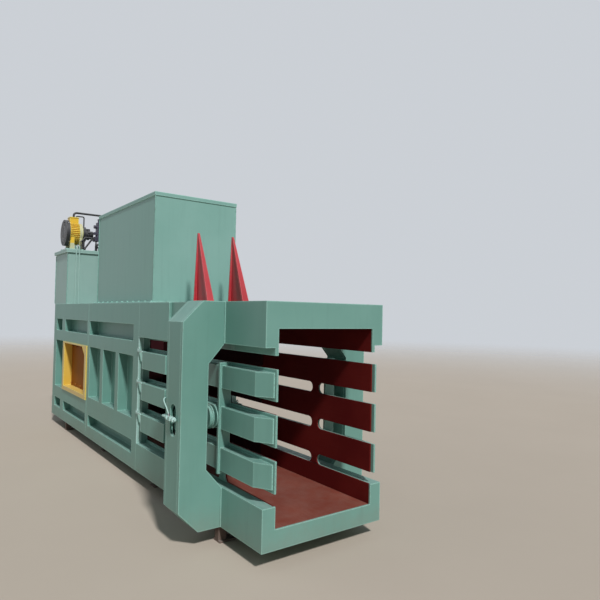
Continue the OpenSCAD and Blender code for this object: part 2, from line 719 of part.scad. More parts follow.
// Squeeze rod: piston, rod and a domed head that bears on the panel's pad
head_t = 30;
head_groove = 8;
dome_h = dome_r - sqrt(dome_r * dome_r - squeeze_head_d * squeeze_head_d / 4);
module squeeze_rod(side) color(green) channel() scale([1, side, 1]) {
  tip = pad_y + slip;
  rod_y(x_mid, tip + dome_h, ww + inner_t + squeeze_len - 24, barrel_axis_z, squeeze_rod_d);
  rod_y(x_mid, ww + inner_t + squeeze_len - 24 - piston_t, ww + inner_t + squeeze_len - 24, barrel_axis_z,
    squeeze_d - 36 - 2 * pin_gap);
  difference() {
    intersection() {
      rod_y(x_mid, tip - overlap, tip + dome_h + head_t, barrel_axis_z, squeeze_head_d);
      translate([x_mid, tip + dome_r, barrel_axis_z]) sphere(r = dome_r);
    }
    difference() {
      rod_y(x_mid, tip + dome_h + head_groove, tip + dome_h + 2 * head_groove, barrel_axis_z,
        squeeze_head_d + 2 * overlap);
      rod_y(x_mid, tip + dome_h, tip + dome_h + head_t, barrel_axis_z, squeeze_head_d - 2 * head_groove);
    }
  }
}
module squeeze_rod_left() squeeze_rod(-1);
module squeeze_rod_right() squeeze_rod(1);

// Ram: a box open at the back, with grooves in its face for the tie wires
ram_y = li - ram_gap;
ram_z0 = ram_gap;
ram_z1 = chamber_h - ram_gap;
ram_wall = 16;
shoe_t = 12;
groove_depth = 36;
module ram_body() color(horn_red) channel() difference() {
  union() {
    difference() {
      block([x_ram_b, x_ram - face_t], [-ram_y, ram_y], [ram_z0 + shoe_t, ram_z1]);
      block([x_ram_b - overlap, x_ram - face_t - ram_wall], [-ram_y + ram_wall, ram_y - ram_wall],
        [ram_z0 + shoe_t + ram_wall, ram_z1 - ram_wall]);
    }
    rod_x(x_ram - face_t - boss_len, x_ram - face_t - overlap, 0, main_z, boss_d);
  }
  rod_x(x_ram - face_t - boss_len - overlap, x_ram - face_t + overlap, 0, main_z, main_rod_d + 2 * pin_gap);
  rod_z(x_pin, 0, main_z - boss_d, main_z + boss_d, rod_pin_d + 2 * pin_gap);
}
boss_d = 190;
rod_pin_d = 50;
x_pin = x_ram - face_t - ram_wall - rod_pin_d / 2 - 9;
module ram_face() color(horn_red) channel() difference() {
  block([x_ram - face_t, x_ram], [-ram_y, ram_y], [ram_z0 + shoe_t, ram_z1 - blade_h - slip]);
  for (i = [0:fingers]) block([x_ram - groove_depth, x_ram + overlap], [-ram_y - overlap, ram_y + overlap],
    [slot_z(i) + slot_h / 4, slot_z(i) + 3 * slot_h / 4]);
}
module ram_blade() color(steel) channel() difference() {
  block([x_ram - face_t, x_ram], [-ram_y, ram_y], [ram_z1 - blade_h, ram_z1]);
  for (i = [0:5])
    rod_z(x_ram - face_t / 2, -ram_y + 70 + i * (2 * ram_y - 140) / 5, ram_z1 - 12, ram_z1 + overlap, 20);
}
module ram_shoes() color(steel) channel()
  for (s = [-1, 1]) side_block(s, [x_ram_b, x_ram - slip], [ram_y - 90, ram_y], [slip, ram_z0 + shoe_t]);

// Main cylinder, held by a bolted flange at the rear frame
bore_x0 = x_tail + cap_t;
rod_back = bore_x0 + 5;
port_h = 30;
module main_cylinder() color(green) channel() {
  difference() {
    union() {
      rod_x(x_tail, x_gland - gland_len, 0, main_z, main_d);
      rod_x(x_rear - 34, x_rear - slip, 0, main_z, flange_d);
      rod_x(x_tail, x_tail + cap_t, 0, main_z, main_d + 24);
      rod_z(x_tail + cap_t + 36, 0, main_z + main_bore / 2 + 6, main_z + main_d / 2 + port_h, 60);
    }
    rod_x(bore_x0, x_gland + overlap, 0, main_z, main_bore);
  }
  for (i = [0:flange_bolts - 1]) rotate_about(i * 360 / flange_bolts)
    translate([x_rear - 34 + overlap, 0, 160]) rotate([0, -90, 0]) bolt_head(24);
}
module rotate_about(a) { translate([0, 0, main_z]) rotate([a, 0, 0]) children(); }
module cylinder_gland() color(steel) channel() difference() {
  union() {
    rod_x(x_gland - gland_len + slip, x_gland, 0, main_z, main_d);
    rod_x(x_gland - gland_len - spigot_len, x_gland - gland_len + 2 * overlap, 0, main_z,
      main_bore - 2 * pin_gap);
  }
  rod_x(x_gland - gland_len - 40, x_gland + overlap, 0, main_z, main_rod_d + 2 * pin_gap);
}
module main_rod() color(steel) channel() difference() {
  union() {
    rod_x(rod_back, x_ram - face_t - slip, 0, main_z, main_rod_d);
    rod_x(rod_back, rod_back + main_piston, 0, main_z, main_bore - 2 * pin_gap);
  }
  rod_z(x_pin, 0, main_z - main_rod_d, main_z + main_rod_d, rod_pin_d + 2 * pin_gap);
}
module rod_pin() color(steel) channel() {
  rod_z(x_pin, 0, main_z - boss_d / 2 - 12, main_z + boss_d / 2 + overlap, rod_pin_d);
  rod_z(x_pin, 0, main_z + boss_d / 2 + slip, main_z + boss_d / 2 + 14, rod_pin_d + 16);
}

// Yellow window frame in the left rear wall and the bolted cover behind it
lip_top = 16;
module window_frame() color(yellow) channel() difference() {
  block([window_x0 + slip, window_x1 - 18 - slip], [-bo - lip_out, -lo - web_t - slip],
    [window_z + slip, window_z + window_h - slip]);
  block([window_x0 + lip_w, window_x1 - 18 - lip_w], [-bo - lip_out - overlap, -lo],
    [window_z + lip_w * 0.7, window_z + window_h - lip_top]);
}
cover_t = 8;
module window_cover() color([0.50, 0.27, 0.06]) channel() {
  x0 = window_x0 + lip_w + slip;
  x1 = window_x1 - 18 - lip_w - slip;
  z0 = window_z + lip_w * 0.7 + slip;
  z1 = window_z + window_h - lip_top - slip;
  block([x0, x1], [-lo - web_t - slip - cover_t, -lo - web_t - slip], [z0, z1]);
  for (x = [x0 + 30, (x0 + x1) / 2, x1 - 30], z = [z0 + 30, z1 - 30])
    translate([x, -lo - web_t - slip - cover_t + overlap, z]) rotate([90, 0, 0]) bolt_head(12);
}

// Two red horn brackets on the front deck: web, sloping front flange, upright rear flange, foot plate.
// Both flanges narrow towards the tip.
horn_x0 = x_wire + 430;
horn_tip = 16;
horn_foot_w = 60;
horn_tip_w = 14;
horn_t = 12;
module horn_taper() along_x(-overlap, horn_len + overlap)
  polygon([[-horn_foot_w / 2, 0], [horn_foot_w / 2, 0], [horn_tip_w / 2, horn_h],
    [-horn_tip_w / 2, horn_h]]);
module horn_brackets() color(horn_red) channel()
  for (s = [-1, 1]) translate([horn_x0, s * horn_pitch / 2, z_deck]) {
    along_y(-horn_t / 2, horn_t / 2)
      polygon([[0, 0], [horn_len, 0], [horn_tip, horn_h], [0, horn_h]]);
    intersection() {
      along_y(-horn_foot_w, horn_foot_w)
        polygon([[horn_len - 2 * horn_t, 0], [horn_len, 0], [horn_tip, horn_h],
          [horn_tip - horn_t, horn_h]]);
      horn_taper();
    }
    intersection() {
      block([0, horn_t], [-horn_foot_w, horn_foot_w], [0, horn_h]);
      horn_taper();
    }
    block([-30, horn_len + 20], [-horn_foot_w / 2 - 10, horn_foot_w / 2 + 10], [0, horn_t]);
  }

// Oil tank on the rear deck, and its lid with a folded skirt
tank_x0 = x_rear - tank_back;
tank_x1 = tank_x0 + tank_len;
lid_t = 8;
lid_over = 20;
lid_drop = 41;
z_lid = z_deck + tank_h;
motor_set = 174;
motor_x = tank_x1 - motor_set;
motor_y0 = -tank_w / 2 - lid_over + cowl_len + 4;
rail_h = 14;
rail_w = 60;
motor_foot = 100;
cap_x = tank_x0 + 110;
cap_y = tank_w / 2 - 120;
neck_d = 70;
neck_h = 30;
module oil_tank() color(green) channel() difference() {
  block([tank_x0, tank_x1], [-tank_w / 2, tank_w / 2], [z_deck, z_lid - lid_t]);
  block([tank_x0 + 6, tank_x1 - 6], [-tank_w / 2 + 6, tank_w / 2 - 6], [z_deck + 6, z_lid]);
}
module tank_lid() color(green) channel() {
  difference() {
    block([tank_x0 - lid_over, tank_x1 + lid_over], [-tank_w / 2 - lid_over, tank_w / 2 + lid_over],
      [z_lid - lid_drop, z_lid]);
    block([tank_x0 - liner_gap, tank_x1 + liner_gap], [-tank_w / 2 - liner_gap, tank_w / 2 + liner_gap],
      [z_lid - lid_drop - overlap, z_lid - lid_t]);
  }
  for (s = [-1, 1]) translate([motor_x + s * motor_foot, 0, 0])
    block([-rail_w / 2, rail_w / 2], [-tank_w / 2 - lid_over + 2, motor_y0 + motor_len + 10],
      [z_lid - overlap, z_lid + rail_h]);
  rod_z(cap_x, cap_y, z_lid - overlap, z_lid + neck_h, neck_d);
}

// Motor across the tank, fan end to the left, with cooling fins, feet, an end shield and a terminal box
motor_axis_h = 205;
motor_z = z_lid + rail_h + motor_axis_h;
shaft_d = 38;
fin_n = 36;
fin_h = 14;
shield_len = 36;
shield_out = 10;
box_h = 66;
z_box = motor_z + motor_d / 2 + box_h;
module fin_section() {
  circle(d = motor_d - 2 * fin_h);
  for (i = [0:fin_n - 1])
    rotate(i * 360 / fin_n) translate([motor_d / 2 - 2 * fin_h, -2.5]) square([2 * fin_h, 5]);
}
module motor() color(yellow) channel() difference() {
  y1 = motor_y0 + motor_len;
  union() {
    translate([motor_x, y1 - shield_len + overlap, motor_z]) rotate([90, 0, 0])
      linear_extrude(motor_len - shield_len - overlap) fin_section();
    rod_y(motor_x, y1 - shield_len, y1, motor_z, motor_d - 6);
    rod_y(motor_x, y1 - overlap, y1 + shield_out, motor_z, motor_d - 60);
    rod_y(motor_x, motor_y0 - 4, motor_y0 + 12, motor_z, cowl_d - 8 - 2 * slip);
    for (s = [-1, 1], y = [[motor_y0 + 14, motor_y0 + 62], [y1 - 36, y1 - 12]])
      translate([motor_x + s * motor_foot, 0, 0]) block([-24, 24], y, [z_lid + rail_h, motor_z - 40]);
    block([motor_x - 60, motor_x + 60], [motor_y0 + 16, y1 - shield_len - 4],
      [motor_z + motor_d / 2 - 2 * fin_h, z_box - 10]);
    block([motor_x - 66, motor_x + 66], [motor_y0 + 14, y1 - shield_len], [z_box - 11, z_box]);
  }
  rod_y(motor_x, motor_y0 - 10, y1 + 20, motor_z, shaft_d + 2 * pin_gap);
}
module motor_cowl() color(black) channel() {
  y1 = motor_y0 + 6;
  y0 = motor_y0 - 4 - cowl_len;
  difference() {
    rod_y(motor_x, y0, y1, motor_z, cowl_d);
    rod_y(motor_x, y0 + 4, y1 + overlap, motor_z, cowl_d - 8);
    for (r = [50:26:140]) difference() {
      rod_y(motor_x, y0 - overlap, y0 + 5, motor_z, 2 * r + 16);
      rod_y(motor_x, y0 - 2 * overlap, y0 + 6, motor_z, 2 * r);
      for (a = [0:60:120]) translate([motor_x, 0, motor_z]) rotate([0, a, 0])
        block([-5, 5], [y0 - 2 * overlap, y0 + 6], [-cowl_d, cowl_d]);
    }
  }
}
blades = 7;
module motor_rotor() color(steel) channel() {
  y1 = motor_y0 + motor_len + shield_out;
  rod_y(motor_x, motor_y0 - 36, y1 + 16, motor_z, shaft_d);
  rod_y(motor_x, motor_y0 - 34, motor_y0 - 11, motor_z, 70);
  for (i = [0:blades - 1]) translate([motor_x, 0, motor_z]) rotate([0, i * 360 / blades, 0])
    block([-3, 3], [motor_y0 - 32, motor_y0 - 12], [30, 130]);
}

// Pump on a bell housing at the drive end of the motor
pump_d = 104;
bell_d = 200;
bell_len = 44;
bell_y = motor_y0 + motor_len + shield_out;
pump_len = 96;
module pump() color(black) channel() {
  difference() {
    union() {
      rod_y(motor_x, bell_y + slip, bell_y + bell_len, motor_z, bell_d);
      rod_y(motor_x, bell_y + bell_len - overlap, bell_y + bell_len + pump_len, motor_z, pump_d);
      rod_y(motor_x, bell_y + bell_len + 30, bell_y + bell_len + 52, motor_z, pump_d + 26);
      rod_z(motor_x, bell_y + bell_len + 41, motor_z, motor_z + pump_d / 2 + 26, 50);
    }
    rod_y(motor_x, bell_y - overlap, bell_y + bell_len - 10, motor_z, shaft_d + 24);
  }
  block([motor_x - 60, motor_x + 60], [bell_y + 12, bell_y + 32], [z_lid, motor_z - 60]);
}

// Valve stack: a manifold on a post, stacked valves with coils, a relief screw on top and lever ears
valve_set = 144;
valve_x = motor_x + valve_set;
valve_y = -96;
valve_w = 60;
valve_top = 372;
z_fold = z_lid + 128;
fold_h = 56;
fold_y0 = valve_y - 60;
fold_y1 = valve_y + 50;
lever_x = valve_x;
lever_y = valve_y - valve_w / 2 - 24;
lever_z = z_lid + 230;
hub_len = 30;
ear_t = 10;
lever_pin_d = 14;
module valve_block() color([0.17, 0.15, 0.22]) channel() {
  block([valve_x - 50, valve_x + 50], [fold_y0, fold_y1], [z_fold, z_fold + fold_h]);
  block([valve_x - 30, valve_x + 30], [fold_y1 - 34, fold_y1 - 4], [z_lid, z_fold + overlap]);
  for (i = [0:3]) block([valve_x - 38 + 2 * (i % 2), valve_x + 38 - 2 * (i % 2)],
    [valve_y - valve_w / 2 + 2 * (i % 2), valve_y + valve_w / 2 - 2 * (i % 2)],
    [z_fold + fold_h - overlap + i * 47, z_fold + fold_h + (i + 1) * 47]);
  for (z = [z_fold + fold_h + 70, z_fold + fold_h + 132]) {
    rod_y(valve_x, valve_y - (z > z_fold + fold_h + 100 ? 62 : 35), valve_y + 62, z, 44);
    rod_x(valve_x + 34, valve_x + 66, valve_y, z, 30);
  }
  rod_z(valve_x, valve_y, z_lid + valve_top - overlap, z_lid + valve_top + 34, 30);
  translate([valve_x, valve_y, z_lid + valve_top + 33]) bolt_head(22);
  for (s = [-1, 1]) translate([lever_x + s * (hub_len / 2 + slip + ear_t / 2), 0, 0])
    block([-ear_t / 2, ear_t / 2], [lever_y - 15, valve_y - valve_w / 2 + 3], [lever_z - 15, lever_z + 15]);
  rod_x(lever_x - hub_len / 2 - ear_t, lever_x + hub_len / 2 + ear_t, lever_y, lever_z, lever_pin_d);
}

// Hand lever at the left of the valve stack, level at rest
module valve_lever() color(black) channel() {
  difference() {
    union() {
      rod_x(lever_x - hub_len / 2, lever_x + hub_len / 2, lever_y, lever_z, 30);
      rod_y(lever_x, lever_y - 52, lever_y, lever_z, 14);
      rod_y(lever_x, lever_y - 80, lever_y - 46, lever_z, 26);
    }
    rod_x(lever_x - hub_len, lever_x + hub_len, lever_y, lever_z, lever_pin_d + 2 * pin_gap);
  }
}

// Filler cap on its neck at the rear right corner of the lid
module filler_cap() color(black) channel() difference() {
  union() {
    rod_z(cap_x, cap_y, z_lid + 12, z_lid + neck_h + 20, neck_d + 24);
    for (a = [0:30:330]) translate([cap_x, cap_y, 0]) rotate([0, 0, a])
      block([neck_d / 2 + 10, neck_d / 2 + 15], [-5, 5], [z_lid + 16, z_lid + neck_h + 16]);
  }
  rod_z(cap_x, cap_y, z_lid + 10, z_lid + neck_h + slip, neck_d + 2 * pin_gap);
  rod_z(cap_x, cap_y, z_lid + neck_h + 14, z_lid + neck_h + 21, 30);
}

// Pale pipes over the edge of the lid and down the front of the tank
pipe_in = 92;
pipe_pitch = 37;
pipe_off = lid_over + 10;
module tank_pipes() color(green) channel() {
  for (y = [pipe_in - tank_w / 2, pipe_in + pipe_pitch - tank_w / 2])
    pipe_run([[tank_x1 + pipe_off, y, z_deck], [tank_x1 + pipe_off, y, z_lid + 46],
      [tank_x1 - 24, y, z_lid + 46], [tank_x1 - 24, y, z_lid]], 16, 24);
}

// Black lines: to the main cylinder, from the manifold to the lid, motor conduit and its short hose
line_d = 34;
hose_d = 22;
conduit_up = 71;
module pressure_lines() color(black) channel() {
  port = [x_tail + cap_t + 36, 0, main_z + main_d / 2 + port_h];
  z_line = z_fold + fold_h / 2;
  pipe_run([[valve_x, fold_y1, z_line], [valve_x, 60, z_line], [tank_x0 - 60, 60, z_line],
    [tank_x0 - 60, 60, port[2] + 120], [tank_x0 - 60, 0, port[2] + 120], [port[0], 0, port[2] + 120], port],
    line_d, 25);
  hose([[valve_x - 20, fold_y0, z_line - 8], [valve_x - 20, fold_y0 - 20, z_line - 8],
    [valve_x - 20, fold_y0 - 102, z_lid + 26], [valve_x - 20, fold_y0 - 102, z_lid]], hose_d);
  hose([[valve_x + 28, fold_y0, z_line + 8], [valve_x + 28, fold_y0 - 112, z_line + 8],
    [valve_x + 28, fold_y0 - 164, z_line - 50], [valve_x + 28, fold_y0 - 164, z_lid]], 14);
  hose([[valve_x + 20, fold_y0 + 24, z_fold], [valve_x + 20, fold_y0 + 24, z_lid + 84],
    [valve_x + 20, fold_y0 + 60, z_lid + 34], [valve_x + 20, fold_y0 + 60, z_lid]], 18);
  pipe_run([[motor_x - 24, motor_y0 + 80, z_box], [motor_x - 24, motor_y0 + 80, z_box + conduit_up],
    [motor_x - 24, tank_w / 2 - 150, z_box + conduit_up], [motor_x - 24, tank_w / 2 - 150, z_lid]], 26, 36);
  pipe_run([[motor_x + 30, motor_y0 + 96, z_box], [motor_x + 30, motor_y0 + 96, z_box + 20],
    [motor_x + 30, bell_y + bell_len / 2, z_box + 20],
    [motor_x + 30, bell_y + bell_len / 2, motor_z + sqrt(bell_d * bell_d / 4 - 22 * 22) + 0.1]], 16, 18);
}

// Lines of the squeeze cylinders: a tee at the access hole, fittings, and a pipe around the column
squeeze_line_d = 14;
tee_w = 26;
module squeeze_lines() color(green) channel()
  for (s = [-1, 1]) scale([1, s, 1]) {
    y_port = ww + inner_t + squeeze_len;
    y_out = pw + squeeze_line_d / 2 + 9;
    x_back = x_pb - squeeze_line_d / 2 - 6;
    z1 = barrel_axis_z + 12;
    z2 = z_deck - 130;
    x_front = x_mid + access_w / 2 + 24;
    pipe_run([[x_front, y_out, z1], [x_back, y_out, z1], [x_back, pw - 130, z1],
      [x_back, pw - 130, z2], [x_back, mo, z2]], squeeze_line_d, 12);
    pipe_leg([x_mid, y_port, z1], [x_mid, y_out, z1], squeeze_line_d);
    block([x_mid - tee_w / 2, x_mid + tee_w / 2], [y_out - tee_w / 2, y_out + tee_w / 2],
      [z1 - tee_w / 2, z1 + tee_w / 2]);
    for (x = [x_mid - access_w / 2 - 10, x_mid + access_w / 2 - 10]) rod_x(x, x + 20, y_out, z1, 30);
  }

floor_frame();
feet();
rear_frame();
rear_wall_left();
rear_wall_right();
press_wall_left();
press_wall_right();
slot_wall_left();
slot_wall_right();
wire_guide_left();
wire_guide_right();
rear_deck();
front_deck();
hopper();
throat_trough();
throat_hood();
portal_front_plate();
portal_rear_plate();
portal_shell();
mouth_trough();
mouth_hood();
floor_liner();
roof_liner();
trough_liners();
wall_liner_left();
wall_liner_right();
shear_blade();
squeeze_panel_left();
squeeze_panel_right();
panel_liner_left();
panel_liner_right();
hinge_pins_left();
hinge_pins_right();
squeeze_cylinder_left();
squeeze_cylinder_right();
squeeze_rod_left();
squeeze_rod_right();
ram_body();
ram_face();
ram_blade();
ram_shoes();
main_cylinder();
cylinder_gland();
main_rod();
rod_pin();
window_frame();
window_cover();
horn_brackets();
oil_tank();
tank_lid();
motor();
motor_cowl();
motor_rotor();
pump();
valve_block();
valve_lever();
filler_cap();
tank_pipes();
pressure_lines();
squeeze_lines();
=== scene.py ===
"""Horizontal baling press: paint, wear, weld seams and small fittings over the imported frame."""
import json
import logging
import math
from dataclasses import dataclass, field
from enum import Enum

import bmesh
import bpy
from mathutils import Matrix, Vector


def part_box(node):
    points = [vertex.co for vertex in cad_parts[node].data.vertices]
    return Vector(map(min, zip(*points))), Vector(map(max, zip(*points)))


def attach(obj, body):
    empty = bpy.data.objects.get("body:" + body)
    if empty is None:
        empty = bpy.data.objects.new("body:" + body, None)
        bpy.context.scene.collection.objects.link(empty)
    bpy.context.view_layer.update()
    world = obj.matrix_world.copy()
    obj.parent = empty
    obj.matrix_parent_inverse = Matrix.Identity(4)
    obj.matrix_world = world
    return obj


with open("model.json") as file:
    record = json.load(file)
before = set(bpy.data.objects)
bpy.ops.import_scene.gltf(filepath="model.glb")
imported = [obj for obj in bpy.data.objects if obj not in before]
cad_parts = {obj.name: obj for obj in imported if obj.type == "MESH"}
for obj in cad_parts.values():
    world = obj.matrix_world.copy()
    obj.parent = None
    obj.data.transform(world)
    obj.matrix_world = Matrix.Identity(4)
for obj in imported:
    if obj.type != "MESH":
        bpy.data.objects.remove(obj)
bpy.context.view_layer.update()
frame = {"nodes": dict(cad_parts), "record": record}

LOG = logging.getLogger("baling_press")

Socket = bpy.types.NodeSocket
Colour = tuple[float, float, float]
Line = list[Vector]
Seats = list[tuple[Vector, Vector]]

UP = Vector((0.0, 0.0, 1.0))
TO_WINDOW = Vector((0.0, -1.0, 0.0))
FROM_WINDOW = Vector((0.0, 1.0, 0.0))
TO_REAR = Vector((-1.0, 0.0, 0.0))

# Edge wear and painted edge highlight: how far from an edge the paint thins and the highlight is
# painted, and how round the edge looks, in metres.
WEAR_AND_HIGHLIGHT_WIDTH = 0.011
ROUNDED_WIDTH = 0.0035
BEVEL_SAMPLES = 4

# The turn above which an edge of a smooth piece stays sharp.
SHARP_TURN = math.radians(38.0)

# Tints of a paint: the factor on each channel and what is added to it.
STREAK_TINT = (0.72, 0.0)
# The painted edge highlight: a paler tint laid along edges, standing in for light catching them.
PAINTED_HIGHLIGHT_TINT = (1.9, 0.10)
DUST_TINT = (0.7, 0.20)
LAID_DUST: Colour = (0.34, 0.27, 0.23)

# Roughness: what fading adds, and that of dust, of splashed dirt and of the clear coat.
FADED_ROUGHER = 0.12
DUST_ROUGHNESS = 0.85
DIRT_ROUGHNESS = 0.8
COAT_ROUGHNESS = 0.3


class Side(Enum):
    """The two long sides of the press, as seen from the outlet."""

    LEFT = -1
    RIGHT = 1


class Body(Enum):
    """The rigid bodies that added pieces ride on."""

    PRESS = "press"


def tinted(colour: Colour, tint: tuple[float, float]) -> Colour:
    """Returns a colour times the tint's factor plus its lift, each channel at 1 or less."""
    gain, lift = tint
    return tuple(min(1.0, channel * gain + lift) for channel in colour)


def node_low(node: str) -> Vector:
    """Returns a CAD node's lowest corner, in metres."""
    return Vector(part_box(node)[0])


def node_high(node: str) -> Vector:
    """Returns a CAD node's highest corner, in metres."""
    return Vector(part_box(node)[1])


class Graph:
    """A node tree under construction."""

    def __init__(self, tree: bpy.types.NodeTree) -> None:
        """Starts on a node tree."""
        self.tree = tree

    def feed(self, value: object, into: Socket) -> None:
        """Links a socket to an input, or sets the input's value.

        Args:
            value: A socket or a plain value.
            into: The input.
        """
        if isinstance(value, Socket):
            self.tree.links.new(value, into)
        else:
            into.default_value = value

    def add(self, kind: str, inputs: dict[str | int, object] | None = None,
            **settings: object) -> bpy.types.Node:
        """Adds a node.

        Args:
            kind: The node's type name.
            inputs: Values or sockets for its inputs, by name or number.
            settings: Plain properties, set before the inputs.

        Returns:
            The node.
        """
        node = self.tree.nodes.new(kind)
        for key, value in settings.items():
            setattr(node, key, value)
        for key, value in (inputs or {}).items():
            self.feed(value, node.inputs[key])
        return node

    def math(self, operation: str, *values: object, clamp: bool = False) -> Socket:
        """Adds a math node on sockets or numbers and returns its result, perhaps clamped."""
        inputs = dict(enumerate(values))
        return self.add("ShaderNodeMath", inputs, operation=operation, use_clamp=clamp).outputs[0]


class NodeGroup(Graph):
    """A shader node group under construction, with named inputs and outputs."""

    def __init__(self, name: str) -> None:
        """Starts an empty group.

        Args:
            name: The group's name.
        """
        super().__init__(bpy.data.node_groups.new(name, "ShaderNodeTree"))
        self.source = self.add("NodeGroupInput")
        self.sink = self.add("NodeGroupOutput")

    def take(self, name: str, default: float, high: float = 100.0) -> Socket:
        """Adds a float input that is 0 or more.

        Args:
            name: The socket's name.
            default: Its value where nothing is set.
            high: Its highest value.

        Returns:
            The input's socket inside the group.
        """
        socket = self.tree.interface.new_socket(name, in_out="INPUT", socket_type="NodeSocketFloat")
        socket.default_value = default
        socket.min_value = 0.0
        socket.max_value = high
        return self.source.outputs[name]

    def give(self, value: Socket, name: str, kind: str = "NodeSocketFloat") -> None:
        """Adds an output of some type, fed by a socket."""
        self.tree.interface.new_socket(name, in_out="OUTPUT", socket_type=kind)
        self.feed(value, self.sink.inputs[name])

    def ramp(self, value: Socket, low: float, high: float) -> Socket:
        """Maps a socket from low..high smoothly to 0..1 and returns the result."""
        node = self.add("ShaderNodeMapRange", {
            "Value": value, "From Min": low, "From Max": high}, interpolation_type="SMOOTHSTEP")
        return node.outputs["Result"]

    def noise(self, place: Socket, scale: object, detail: float, rough: float = 0.55) -> Socket:
        """Adds a noise texture with detail octaves of some roughness and returns its value."""
        node = self.add("ShaderNodeTexNoise", {
            "Vector": place, "Scale": scale, "Detail": detail, "Roughness": rough})
        return node.outputs["Fac"]

    def object_place(self, stretch: tuple[float, float, float] = (1.0, 1.0, 1.0)) -> Socket:
        """Returns Object coordinates, scaled by stretch on X, Y and Z."""
        place = self.add("ShaderNodeTexCoord").outputs["Object"]
        return self.add("ShaderNodeMapping", {"Vector": place, "Scale": stretch}).outputs["Vector"]


class SharedEffects:
    """Node groups that several finishes use: paint tone, edge wear with the edge mask for painted
    highlights, dust and brushed marks.
    """

    def __init__(self) -> None:
        """Builds every group once."""
        self.tone = self._tone()
        self.edges = self._edges()
        self.dust = self._dust()
        self.scuffs = self._scuffs()

    @staticmethod
    def _tone() -> bpy.types.NodeTree:
        """Builds slow colour drift, rain streaks and enamel's fine orange peel.

        Returns:
            The node group.
        """
        group = NodeGroup("PaintTone")
        patch_scale = group.take("Patch Scale", 1.3)
        peel_scale = group.take("Peel Scale", 260.0, 2000.0)
        place = group.object_place()
        broad = group.noise(place, patch_scale, detail=4.0)
        group.give(group.ramp(broad, low=0.34, high=0.68), "Tone")
        upright = group.object_place((9.0, 9.0, 0.7))
        streak = group.noise(upright, scale=2.2, detail=5.0, rough=0.6)
        group.give(group.ramp(streak, low=0.5, high=0.78), "Streaks")
        fine = group.noise(place, peel_scale, detail=2.0)
        slow = group.math("MULTIPLY", group.noise(place, scale=7.0, detail=2.0), 3.0)
        group.give(group.math("ADD", fine, slow), "Peel")
        return group.tree

    @staticmethod
    def _edges() -> bpy.types.NodeTree:
        """Builds a mask of sharp edges, which also places the painted edge highlight, and breaks it
        up as chipped paint.

        Returns:
            The node group.
        """
        group = NodeGroup("EdgeWearAndHighlight")
        amount = group.take("Amount", 0.5)
        chip_scale = group.take("Chip Scale", 34.0)
        wide, narrow = (
            group.add("ShaderNodeBevel", {"Radius": width}, samples=BEVEL_SAMPLES).outputs["Normal"]
            for width in (WEAR_AND_HIGHLIGHT_WIDTH, ROUNDED_WIDTH))
        flat = group.add("ShaderNodeNewGeometry").outputs["Normal"]
        dot = group.add("ShaderNodeVectorMath", {0: wide, 1: flat}, operation="DOT_PRODUCT")
        turned = group.math("SUBTRACT", 1.0, dot.outputs["Value"])
        edge = group.ramp(turned, low=0.004, high=0.10)
        chips = group.noise(group.object_place(), chip_scale, detail=6.0, rough=0.68)
        broken = group.math("MULTIPLY", edge, group.ramp(chips, low=0.53, high=0.63))
        group.give(edge, "Edge")
        group.give(group.math("MULTIPLY", broken, amount), "Chip")
        group.give(narrow, "Rounded Normal", "NodeSocketVector")
        return group.tree

    @staticmethod
    def _dust() -> bpy.types.NodeTree:
        """Builds dust on upward faces and dirt splashed up near the ground.

        Returns:
            The node group.
        """
        group = NodeGroup("DustAndSplash")
        amount = group.take("Amount", 0.5)
        splash_height = group.take("Splash Height", 0.35)
        flat = group.add("ShaderNodeNewGeometry").outputs["Normal"]
        faces = group.add("ShaderNodeSeparateXYZ", {0: flat})
        upward = group.ramp(faces.outputs["Z"], low=0.25, high=0.95)
        place = group.object_place()
        grain = group.noise(place, scale=11.0, detail=8.0, rough=0.7)
        laid = group.math("MULTIPLY", upward, group.ramp(grain, low=0.28, high=0.72))
        group.give(group.math("MULTIPLY", laid, amount), "Dust")
        heights = group.add("ShaderNodeSeparateXYZ", {0: place})
        low = group.math("SUBTRACT", 1.0, group.math("DIVIDE", heights.outputs["Z"], splash_height))
        ragged = group.math("ADD", low, group.math("SUBTRACT", grain, 0.5))
        splash = group.ramp(ragged, low=0.1, high=1.0)
        group.give(group.math("MULTIPLY", splash, amount), "Splash")
        return group.tree

    @staticmethod
    def _scuffs() -> bpy.types.NodeTree:
        """Builds marks rubbed along the press, as bales and the ram leave them.

        Returns:
            The node group.
        """
        group = NodeGroup("LongScuffs")
        amount = group.take("Amount", 0.5)
        along = group.object_place((1.1, 34.0, 34.0))
        line = group.noise(along, scale=2.6, detail=7.0, rough=0.72)
        patch = group.noise(group.object_place(), scale=2.3, detail=3.0)
        rubbed, where = group.ramp(line, low=0.5, high=0.66), group.ramp(patch, low=0.36, high=0.62)
        mark = group.math("MULTIPLY", rubbed, where)
        group.give(group.math("MULTIPLY", mark, amount), "Scuff")
        group.give(line, "Groove")
        return group.tree


